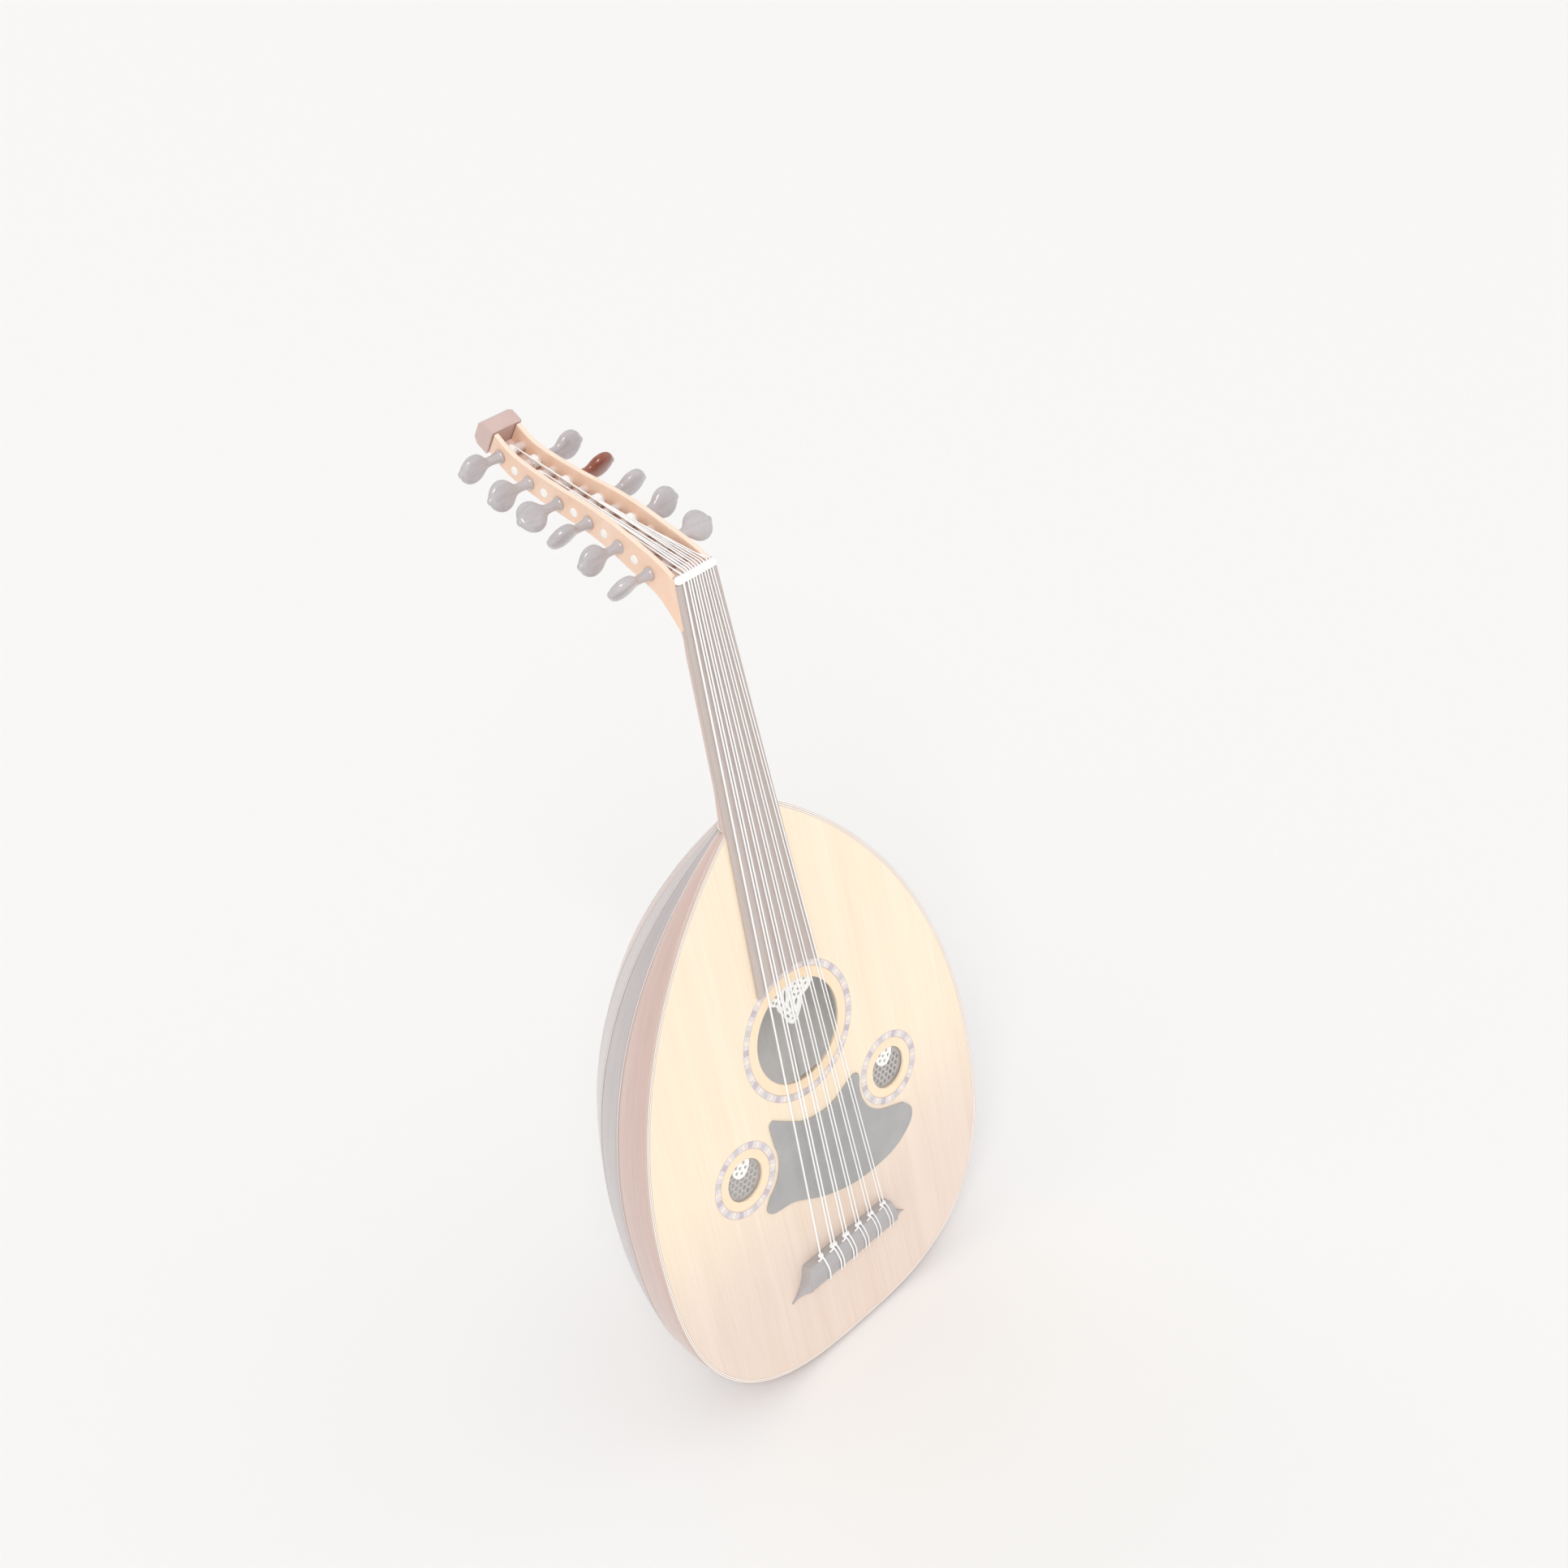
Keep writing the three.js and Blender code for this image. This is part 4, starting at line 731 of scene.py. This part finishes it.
def make_bowl():
    """The ribs, whose inner faces are coloured grey as painted shade, and the lines between them.
    """
    profile = half_outline(RIB_END_RADIUS)
    steps = len(profile) - 1
    step = math.pi / RIB_COUNT
    length = sum(math.dist(a, b) for a, b in zip(profile, profile[1:]))

    def rib_place(number):
        def place(u, v):
            half_width, z = profile[round(v * steps)]
            start, end = number * step, (number + 1) * step
            low, high = (Vector(bowl_point(half_width, z, a)) for a in (start, end))
            arc = Vector(bowl_point(half_width, z, lerp(start, end, u)))
            return low.lerp(high, u).lerp(arc, RIB_CROWN)
        return place

    for number in range(RIB_COUNT):
        name = f"{number + 1:02d}"
        rib = skin(8, steps, rib_place(number), wrap=False, caps=False)
        size_uv(rib, FACE_HALF_WIDTH * step, length, start=number * 0.7)
        from_edge = min(number, RIB_COUNT - 1 - number)
        # The second finish, on each stave's inner face, is the grey of painted shade
        material = [RIB_WOODS[from_edge % len(RIB_WOODS)], INSIDE_SHADE_GREY]
        turn_out(rib)
        piece = finish_piece(rib, f"rib_{name}", material, [f"bowl_rib_{name}"],
                             solid=RIB_THICKNESS)
        piece.modifiers["thickness"].material_offset = 1

    for number in range(1, RIB_COUNT):
        def place(u, v, angle=number * step):
            half_width, z = profile[round(v * steps)]
            return bowl_point(half_width, z, angle + (u - 0.5) * 1.1 / half_width, 0.12)

        line = skin(2, steps, place, wrap=False, caps=False)
        turn_out(line)
        finish_piece(line, f"rib_line_{number:02d}", RIB_LINE, solid=0.5)


def turn_out(bm):
    """Points an open sheet's faces away from the middle of the bowl."""
    middle = at(0, 20, -60)
    outward = sum(face.normal.dot(face.calc_center_median() - middle) for face in bm.faces)
    if outward < 0:
        bmesh.ops.reverse_faces(bm, faces=bm.faces)


def make_tail_clasp():
    """The cap over the ribs' ends at the tail."""
    def place(u, v):
        x = CLASP_HALF_WIDTH * 0.98 * (2 * u - 1)
        y = v * CLASP_DEPTH * math.sqrt(1 - (x / CLASP_HALF_WIDTH) ** 2)
        share = min(math.hypot(x, y / BOWL_DEPTH_RATIO) / FACE_HALF_WIDTH, 1)
        z = WIDEST_Z - TAIL_DROP * (1 - share ** TAIL_FULLNESS) ** (1 / TAIL_FULLNESS)
        return x, RIM_Y + y, z - GAP - CLASP_THICKNESS

    clasp = skin(64, 10, place, wrap=False, caps=False)
    size_uv(clasp, CLASP_DEPTH, 2 * CLASP_HALF_WIDTH)
    turn_out(clasp)
    finish_piece(clasp, "tail_cap", MAHOGANY_RIB, ["tail_clasp"],
                 solid=CLASP_THICKNESS, bevel=0.4)


# ---------------------------------------------------------------- neck


def board_half_width(z):
    return BOARD_HALF_WIDTH_AT_NUT + BOARD_WIDENING * (NUT_Z - z)


def smooth_between(stops, z):
    """A value that eases from stop to stop of (z, value)."""
    for (z0, a), (z1, b) in zip(stops, stops[1:]):
        if z <= z1:
            t = min(max((z - z0) / (z1 - z0), 0), 1)
            return lerp(a, b, t * t * (3 - 2 * t))
    return stops[-1][1]


def cut_flat(bm, place, normal):
    """Cuts away what lies past a plane and closes the cut."""
    cut = bmesh.ops.bisect_plane(
        bm, geom=[*bm.verts, *bm.edges, *bm.faces], plane_co=place, plane_no=normal,
        clear_outer=True)
    edges = [item for item in cut["geom_cut"] if isinstance(item, bmesh.types.BMEdge)]
    bmesh.ops.holes_fill(bm, edges=edges, sides=0)
    bmesh.ops.recalc_face_normals(bm, faces=bm.faces)


def seam_normal():
    """The direction, away from the neck, of the slanted joint with the pegbox."""
    (y0, z0), (y1, z1) = SEAM_FRONT, SEAM_BACK
    return Vector((0, z0 - z1, y1 - y0)).normalized()


def half_round(u, half, front, depth, z, power=1.0):
    """A point of a section that is flat in front and round behind, u going once round it."""
    if u > ROUND_SHARE:
        return half * (2 * (u - ROUND_SHARE) / (1 - ROUND_SHARE) - 1), front, z
    angle = math.pi * u / ROUND_SHARE
    across, deep = eased(math.cos(angle), power), max(math.sin(angle), 0) ** power
    return half * across, front + depth * deep, z


def make_neck():
    """The neck, cut slanting where the pegbox is let in, and the line where it meets the bowl."""
    def place(u, v):
        z = lerp(JOINT_Z + 0.1, NUT_TOP_Z, v)
        front = NECK_SLOPE * (z - JOINT_Z) / (NUT_Z - JOINT_Z) + 0.05
        depth = smooth_between(NECK_DEPTH, z) + GAP
        power = smooth_between(NECK_ROUNDNESS, z)
        return half_round(u, board_half_width(z), front, depth, z, power)

    def collar_place(u, v):
        half = JOINT_HALF_WIDTH + 0.1
        return half_round(u, half, RIM_Y - 0.1, bowl_ratio(JOINT_Z) * half, JOINT_Z + 0.9 * v)

    neck = skin(80, 60, place)
    cut_flat(neck, at(0, *SEAM_FRONT), seam_normal())
    finish_piece(neck, "mahogany_neck", MAHOGANY_NECK, ["neck"], sharp=50)
    finish_piece(skin(80, 1, collar_place), "maple_collar", RIB_LINE, bevel=0.25)


# ---------------------------------------------------------------- bridge and strings


def bridge_edges(x):
    """Front and back z of the bridge at a distance from its middle, and how high its wing lets
    it be there."""
    x = abs(x)
    back = BRIDGE_BACK_Z
    if x <= BRIDGE_HALF_FRONT:
        return BRIDGE_FRONT_Z, back, BRIDGE_HEIGHT
    share = (x - BRIDGE_HALF_FRONT) / (BRIDGE_HALF_BACK - BRIDGE_HALF_FRONT)
    # The wing's two edges are quadratic curves that meet at the whisker's tip
    t = share_on_curve(x, BRIDGE_HALF_FRONT, BRIDGE_HALF_FRONT + 2.5, BRIDGE_HALF_BACK)
    front = bezier(t, BRIDGE_FRONT_Z - 0.5, back + 6, back - WHISKER_DROP + 0.5)
    rear = bezier(share, back, back, back - WHISKER_DROP)
    height = lerp(BRIDGE_HEIGHT, WHISKER_HEIGHT, 1 - (1 - share) ** 2)
    return front, min(rear, front - 0.3), height


def bezier(t, a, b, c):
    return a * (1 - t) ** 2 + 2 * b * t * (1 - t) + c * t * t


def share_on_curve(x, a, b, c):
    """Where a quadratic curve whose ends are a and c, with b between, reaches x."""
    low, high = 0.0, 1.0
    for _ in range(30):
        middle = (low + high) / 2
        low, high = (middle, high) if bezier(middle, a, b, c) < x else (low, middle)
    return low


BRIDGE_SECTION = [  # share from the front edge to the back one, and height
    (0.0, 0.0), (0.0, 4.8), (0.0, 9.0), (0.03, 9.5), (0.12, 10.6), (0.225, 11.6), (0.41, 12.0),
    (0.55, 11.7), (0.7, 11.0), (0.86, 9.6), (0.97, 8.4), (1.0, 7.8), (1.0, 4.0), (1.0, 0.0),
]


def make_bridge():
    count = len(BRIDGE_SECTION)

    def place(u, v):
        x = lerp(-BRIDGE_HALF_BACK, BRIDGE_HALF_BACK, v)
        front, back, limit = bridge_edges(x)
        share, height = BRIDGE_SECTION[round(u * count) % count]
        height = min(height, limit * min(height / BRIDGE_SHOULDER, 1))
        return x, -0.05 - height, lerp(front, back, share)

    bridge = skin(count, 130, place)
    finish_piece(bridge, "ebony_bridge", EBONY_BRIDGE, ["bridge"], sharp=40, bevel=0.3)


def spline_point(t):
    """A point (y, z) of the pegbox's spine, t from 0 to 1 over its control points."""
    points = [(PEGBOX_REACH * y, PEGBOX_START_Z + PEGBOX_RISE * z) for y, z in PEGBOX_SPINE]
    spans = len(points) - 1
    span = min(int(t * spans), spans - 1)
    return Vector(between(points, span, t * spans - span))


SPINE_STEPS = 400
spine_points = [spline_point(i / SPINE_STEPS) for i in range(SPINE_STEPS + 1)]
spine_lengths = [0.0]
for start, end in zip(spine_points, spine_points[1:]):
    spine_lengths.append(spine_lengths[-1] + (end - start).length)


def beside_spine(distance, offset):
    """(y, z) at a distance along the pegbox's spine, an offset to its front or back."""
    i = 1
    while i < SPINE_STEPS and spine_lengths[i] < distance:
        i += 1
    low, high = spine_points[i - 1], spine_points[i]
    share = (distance - spine_lengths[i - 1]) / (spine_lengths[i] - spine_lengths[i - 1])
    here = low.lerp(high, share)
    along = (spine_points[min(i + 3, SPINE_STEPS)] - spine_points[max(i - 4, 0)]).normalized()
    return here.x - along.y * offset, here.y + along.x * offset


def half_depth(distance):
    return lerp(*PEGBOX_HALF_DEPTHS, distance / spine_lengths[-1])


def pegbox_half_width(y):
    return lerp(*PEGBOX_HALF_WIDTHS, y / PEGBOX_REACH)


peg_places = [beside_spine(PEG_FIRST + i * PEG_STEP, -PEG_SETBACK) for i in range(PEG_COUNT)]


def string_ends(number):
    """x at the bridge and the nut, radius, the peg and (x, y, z) on the peg of a string."""
    course = (number + 1) // 2
    pair = 0 if number == 0 else (-0.5 if number % 2 else 0.5)
    radius = STRING_RADII[course]
    # The first strings go to the left-hand pegs from the nut up, the others back down the right
    peg = 2 * number if number <= 5 else 2 * (10 - number) + 1
    y, z = beside_spine(PEG_FIRST + peg * PEG_STEP, SHAFT_RADIUS + radius - PEG_SETBACK)
    x = side_of(peg) * (7.4 - 0.65 * peg)
    at_bridge, at_nut = (
        first + step * course + gap * pair for first, step, gap in (AT_BRIDGE, AT_NUT)
    )
    return at_bridge, at_nut, radius, peg, (x, y, z)


def side_of(peg):
    """Right, 1, or left, -1: where a peg's head is."""
    return 1 if peg % 2 else -1


def string_length(bridge_x, nut_x, on_peg):
    """From the bridge over the nut to the peg, with the bend that the nut gives it."""
    bend = tuple(lerp(a, b, 0.03) for a, b in zip((nut_x, NUT_Y + 0.2, NUT_TOP_Z + 1), on_peg))
    return [
        (bridge_x, -STRING_HEIGHT, BRIDGE_FRONT_Z - 1),
        (bridge_x, -STRING_HEIGHT, BRIDGE_FRONT_Z + 2),
        (nut_x, NUT_Y + 0.05, NUT_Z - 2), (nut_x, NUT_Y, NUT_Z + 1), (nut_x, NUT_Y, NUT_TOP_Z - 1),
        bend, on_peg,
    ]


def bridge_loop(x, lift):
    """Out at the bridge's back, up over its top and down in front, where the string is tied."""
    front, back = BRIDGE_FRONT_Z, BRIDGE_BACK_Z
    return curve_through([
        (x + LOOP_SLANT, -5.5, back + 0.5), (x + LOOP_SLANT, -6.6, back - lift),
        (x + LOOP_SLANT * 0.9, -8.6 - lift, back - 0.2),
        (x + LOOP_SLANT * 0.6, -11 - lift, front - 15.5),
        (x + LOOP_SLANT * 0.3, -12 - lift, front - 9), (x, -10.8 - lift, front - 2.4),
        (x - 0.2, -9.3 - lift, front + 0.7), (x, -6.9 - lift, front + 1.6 + lift),
    ], 6)


def knot(x, radius):
    """Two and a half turns round the string, in front of the bridge."""
    reach, z = radius * 2.05, BRIDGE_FRONT_Z + 0.9 + radius
    turns = [(i, 2 * math.pi * i / 12) for i in range(31)]
    return [
        (x + reach * math.cos(a), -6.7 - reach * math.sin(a), z + 0.06 * i) for i, a in turns
    ]


def knot_end(x):
    """The string's short end, which lies along the bridge."""
    z = BRIDGE_FRONT_Z
    return curve_through([
        (x - 0.3, -8.6, z + 1.2), (x - 2, -9.2, z + 1.6), (x - 3.8, -8.8, z + 0.9),
        (x - 5, -9.4, z + 1.5),
    ], 5)


def loose_end(x, lift, dx, dz):
    """A spare end that hangs from the loop to the face behind the bridge."""
    back = BRIDGE_BACK_Z
    return curve_through([
        (x, -6.6, back - lift), (x + dx * 0.1, -4.5, back - 1.5),
        (x + dx * 0.6, -2.2, back + dz * 0.6), (x + dx, -1.2, back + dz),
    ], 6)


def winding(peg, x, radius):
    """The turns of a string round its peg's shank, out towards the cheek."""
    y, z = peg_places[peg]
    room = pegbox_half_width(y) - CHEEK_THICKNESS - abs(x) - radius - 0.4
    pitch = 2 * radius + 0.06
    turns = min(room / pitch, 5)
    reach = SHAFT_RADIUS + 0.1 + radius
    coil = []
    for i in range(max(int(turns * 24), 8) + 1):
        a = 2 * math.pi * i / 24 + math.pi
        coil.append((
            x + side_of(peg) * pitch * i / 24, y + reach * math.cos(a), z - reach * math.sin(a),
        ))
    return coil


def make_strings():
    """Each string with its loop, knot and ends, and its winding, which turns with the peg."""
    for number in range(PEG_COUNT):
        bridge_x, nut_x, radius, peg, on_peg = string_ends(number)
        lift = radius + 0.1
        lines = [
            string_length(bridge_x, nut_x, on_peg), bridge_loop(bridge_x, lift),
            knot(bridge_x, radius),
        ]
        if number % 2 or number == 0:
            lines.append(knot_end(bridge_x))
        if number in LOOSE_ENDS:
            lines.append(loose_end(bridge_x + LOOP_SLANT, lift, *LOOSE_ENDS[number]))
        label = f"{number + 1:02d}"
        thread(f"nylon_string_{label}", lines, radius, [f"string_{label}"])
        body = f"peg_{peg + 1:02d}"
        thread(f"winding_{peg + 1:02d}", [winding(peg, on_peg[0], radius)], radius, body=body)


# ---------------------------------------------------------------- pegbox


def outer_half(y, z):
    """Half the pegbox's width; at its foot it lies on the sides of the neck."""
    foot = smooth_between(FOOT_BLEND, z)
    return lerp(pegbox_half_width(y), board_half_width(z) + 0.25, foot)


def inner_half(y, z):
    return outer_half(y, z) - CHEEK_THICKNESS


def bar(half_in, half_out, front, back, start, end, side=1, steps=70):
    """A bar along the pegbox's spine from start to end, as distances; its sides are functions
    of (y, z), and its front and back, as offsets from the spine, of the distance."""
    corners = [(0, 0), (1, 0), (1, 1), (0, 1)]

    def place(u, v):
        distance = lerp(start, end, v)
        across, deep = corners[round(u * 4) % 4]
        y, z = beside_spine(distance, (front if deep else back)(distance))
        return side * (half_out if across else half_in)(y, z), y, z

    return skin(4, steps, place)


def make_pegbox():
    """Two cheeks whose front strips are coloured lighter as a painted highlight, the floor between
    them, and the root in the neck.
    """
    length = spine_lengths[-1]

    def cheek_front(distance):
        return half_depth(distance) - CHEEK_EDGE

    def back(distance):
        return -half_depth(distance)

    def floor_front(distance):
        return FLOOR_THICKNESS - half_depth(distance)

    def left_wall(y, z):
        return -inner_half(y, z)

    for side, name in ((-1, "left"), (1, "right")):
        cheek = bar(inner_half, outer_half, cheek_front, back, 0, length, side)
        # The cap is each cheek's front strip, coloured lighter as a painted highlight
        cap = bar(inner_half, outer_half, half_depth, cheek_front, 0, length, side)
        for part in (cheek, cap):
            cut_flat(part, at(0, FOOT_FRONT_Y, 0), (0, -1, 0))
        finish_piece(cheek, f"beech_cheek_{name}", BEECH_PEGBOX,
                     [f"pegbox_cheek_{name}"], bevel=0.6)
        finish_piece(cap, f"highlight_cheek_edge_{name}", EDGE_HIGHLIGHT_PAINT, bevel=0.3)
    floor = bar(left_wall, inner_half, floor_front, back, ROOT_LENGTH, length)
    finish_piece(floor, "beech_floor", BEECH_FLOOR, ["pegbox_back"], bevel=0.3)
    root = bar(left_wall, inner_half, half_depth, back, 0, ROOT_LENGTH, steps=24)
    cut_flat(root, at(0, *SEAM_FRONT), -seam_normal())
    cut_flat(root, at(0, 0, ROOT_TOP_Z), (0, 0, 1))
    finish_piece(root, "beech_root", BEECH_FLOOR, ["pegbox_back"], bevel=0.3)


def make_nut():
    """The nut: a bone bar with a rounded crest and rounded ends."""
    low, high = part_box("nut")
    half_length, half_height, half_width = ((high[i] - low[i]) / 2 / MM for i in range(3))
    half_length += 0.5
    middle_y = ((low.y + high.y) / 2 - FACE_Y) / MM
    middle_z = ((low.z + high.z) / 2 - HOLE_Z) / MM

    def place(u, v):
        angle = 2 * math.pi * u
        end = min(v, 1 - v) * 2 * half_length
        draw_in = math.sqrt(max(1 - (1 - min(end / 3, 1)) ** 2, 0.0))
        shrink = 0.35 + 0.65 * draw_in
        return (
            (2 * v - 1) * half_length,
            middle_y + half_height * shrink * eased(math.sin(angle), 0.55),
            middle_z + (half_width - 0.1) * shrink * eased(math.cos(angle), 0.55),
        )

    finish_piece(skin(32, 60, place), "bone_nut", BONE, ["nut"], sharp=60)


# ---------------------------------------------------------------- pegs

PEG_PROFILE = [  # distance out from the cheek, half-width across the grip, half-thickness
    (37.6, 0.0, 0.0), (37.5, 1.2, 1.1), (37.0, 2.2, 2.0), (36.2, 2.9, 2.5), (35.6, 3.7, 2.6),
    (34.9, 5.3, 2.9), (33.6, 7.3, 3.5), (31.0, 9.6, 4.2), (28.0, 11.0, 4.7), (25.0, 11.5, 4.9),
    (22.0, 11.0, 4.8), (19.4, 9.8, 4.5), (17.2, 8.0, 4.1), (15.4, 6.1, 3.7), (13.8, 4.7, 3.4),
    (12.2, 3.9, 3.2), (10.4, 3.6, 3.2), (8.0, 3.5, 3.4), (5.0, 3.7, 3.7), (2.6, 4.2, 4.2),
    (1.5, 4.9, 4.9), (0.7, 4.9, 4.9), (0.2, 4.2, 4.2), (-0.6, 4.15, 4.15),
]
PEG_ROUND = 36
PIP_PROFILE = [  # distance out from the cheek, and radius
    (-0.3, 3.5), (0.3, 3.5), (0.75, 3.1), (0.95, 1.8), (1.0, 0.0),
]


def make_pegs():
    """Each peg is one turned piece from its tip to its shank's far end, with a bone pip there."""
    profile = curve_through(PEG_PROFILE, 4)
    for number, (y, z) in enumerate(peg_places):
        side = side_of(number)
        half = outer_half(y, z)
        turn = math.radians(PEG_TURNS[number])
        far = -2 * half - 0.1
        stations = [*profile, (far + 0.5, 3.32, 3.32), (far + 0.15, 3.2, 3.2), (far, 2.8, 2.8)]

        def place(u, v):
            out, wide, thick = stations[round(v * (len(stations) - 1))]
            angle = 2 * math.pi * u
            # The grip is a little squarer than the round shank
            power = 2 / lerp(2, 2.6, min(max((wide - 5) / 5, 0), 1))
            a, b = wide * eased(math.cos(angle), power), thick * eased(math.sin(angle), power)
            return (
                side * (half + out),
                y - a * math.sin(turn) + b * math.cos(turn),
                z + a * math.cos(turn) + b * math.sin(turn),
            )

        def pip(u, v):
            angle = 2 * math.pi * u
            out, reach = PIP_PROFILE[round(v * (len(PIP_PROFILE) - 1))]
            return (
                -side * (half + out), y + reach * math.cos(angle), z + reach * math.sin(angle),
            )

        name = f"peg_{number + 1:02d}"
        peg = skin(PEG_ROUND, len(stations) - 1, place)
        for face in peg.faces:
            inside = half - abs(face.calc_center_median().x) / MM
            face.material_index = 1 if inside > 0.5 else 0
        material = ROSEWOOD_PEG if number == REDDISH_PEG else EBONY_PEG
        finish_piece(peg, f"turned_{name}", [material, CHALKED_SHANK], [name],
                     body=name, sharp=40)
        finish_piece(skin(24, 4, pip), f"bone_pip_{number + 1:02d}", BONE, body=name)


# ---------------------------------------------------------------- pieces kept from the model


def dress(names, material, bevel=0.0):
    """Gives CAD nodes their finish and eased edges."""
    for name in names:
        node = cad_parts[name]
        node.data.materials.clear()
        node.data.materials.append(material)
        if bevel:
            soften(node, bevel, 2)


make_face()
make_soundhole("main", 0, 0, HOLE_RADIUS, RING_INNER, RING_OUTER, 22)
for side_name, side_sign in (("left", -1), ("right", 1)):
    make_soundhole(side_name, side_sign * SMALL_HOLE_X, SMALL_HOLE_Z, SMALL_HOLE_RADIUS,
                   SMALL_RING_INNER, SMALL_RING_OUTER, 12)
    make_small_rosette(side_name, side_sign)
make_main_rosette()
make_pickguard()
make_bowl()
make_tail_clasp()
make_neck()
make_bridge()
make_strings()
make_pegbox()
make_nut()
make_pegs()
dress(["fingerboard"], EBONY_BOARD, 0.25)
dress(["head_block"], ROSEWOOD_HEAD, 0.7)
dress(["neck_block", "tail_block", *(f"brace_{i}" for i in range(1, 6))], INNER_SPRUCE, 0.4)


# ---------------------------------------------------------------- floor, light and camera


def make_stage():
    """A pale floor, a white sky, three soft suns, and a weak lamp that lifts the bowl's inside."""
    floor_paint, _, shader = blank("pale_floor", 0.8, 1.4)
    shader.inputs["Base Color"].default_value = linear("#F6F5F4")
    bm = bmesh.new()
    bmesh.ops.create_circle(bm, cap_ends=True, segments=64, radius=60)
    bmesh.ops.translate(bm, verts=bm.verts, vec=(0, 0, CAD_BOX[0][2] - MM))
    mesh = bpy.data.meshes.new("floor")
    bm.to_mesh(mesh)
    bm.free()
    mesh.materials.append(floor_paint)
    new_object("floor", mesh)

    world = bpy.context.scene.world or bpy.data.worlds.new("studio")
    bpy.context.scene.world = world
    world.use_nodes = True
    world.node_tree.nodes["Background"].inputs["Color"].default_value = (1, 1, 1, 1)
    world.node_tree.nodes["Background"].inputs["Strength"].default_value = 0.72
    middle = at(0, 40, 60)
    for name, place, softness, strength in (  # softness in degrees
        ("key", (-1500, -1700, 1900), 25, 1.2), ("fill", (1800, -1500, 700), 70, 0.2),
        ("rim", (300, 1800, 1500), 60, 0.25),
    ):
        lamp = bpy.data.lights.new(name, "SUN")
        lamp.angle = math.radians(softness)
        lamp.energy = strength
        light = new_object(name, lamp)
        light.location = at(*place)
        light.rotation_euler = (middle - light.location).to_track_quat("-Z", "Y").to_euler()
    glow = bpy.data.lights.new("inside fill", "POINT")
    glow.energy = 0.2
    glow.shadow_soft_size = 0.05
    light = new_object("inside fill", glow)
    light.location = at(0, 60, -150)
    light.visible_camera = False


def make_camera():
    data = bpy.data.cameras.new("camera")
    data.sensor_width = 36
    data.lens = 50.064
    data.clip_start, data.clip_end = 0.05, 200
    camera = new_object("camera", data)
    right = Vector((0.6919376, -0.6981099, -0.1840243)).normalized()
    up = Vector((0.4555927, 0.2244920, 0.8614166)).normalized()
    back, place = right.cross(up), at(-840.951, -1065.197, 937.599)
    rows = [(right[i], up[i], back[i], place[i]) for i in range(3)]
    camera.matrix_world = Matrix([*rows, (0, 0, 0, 1)])
    bpy.context.scene.camera = camera


make_stage()
make_camera()
bpy.context.scene.view_settings.view_transform = "Standard"
bpy.context.scene.view_settings.look = "None"
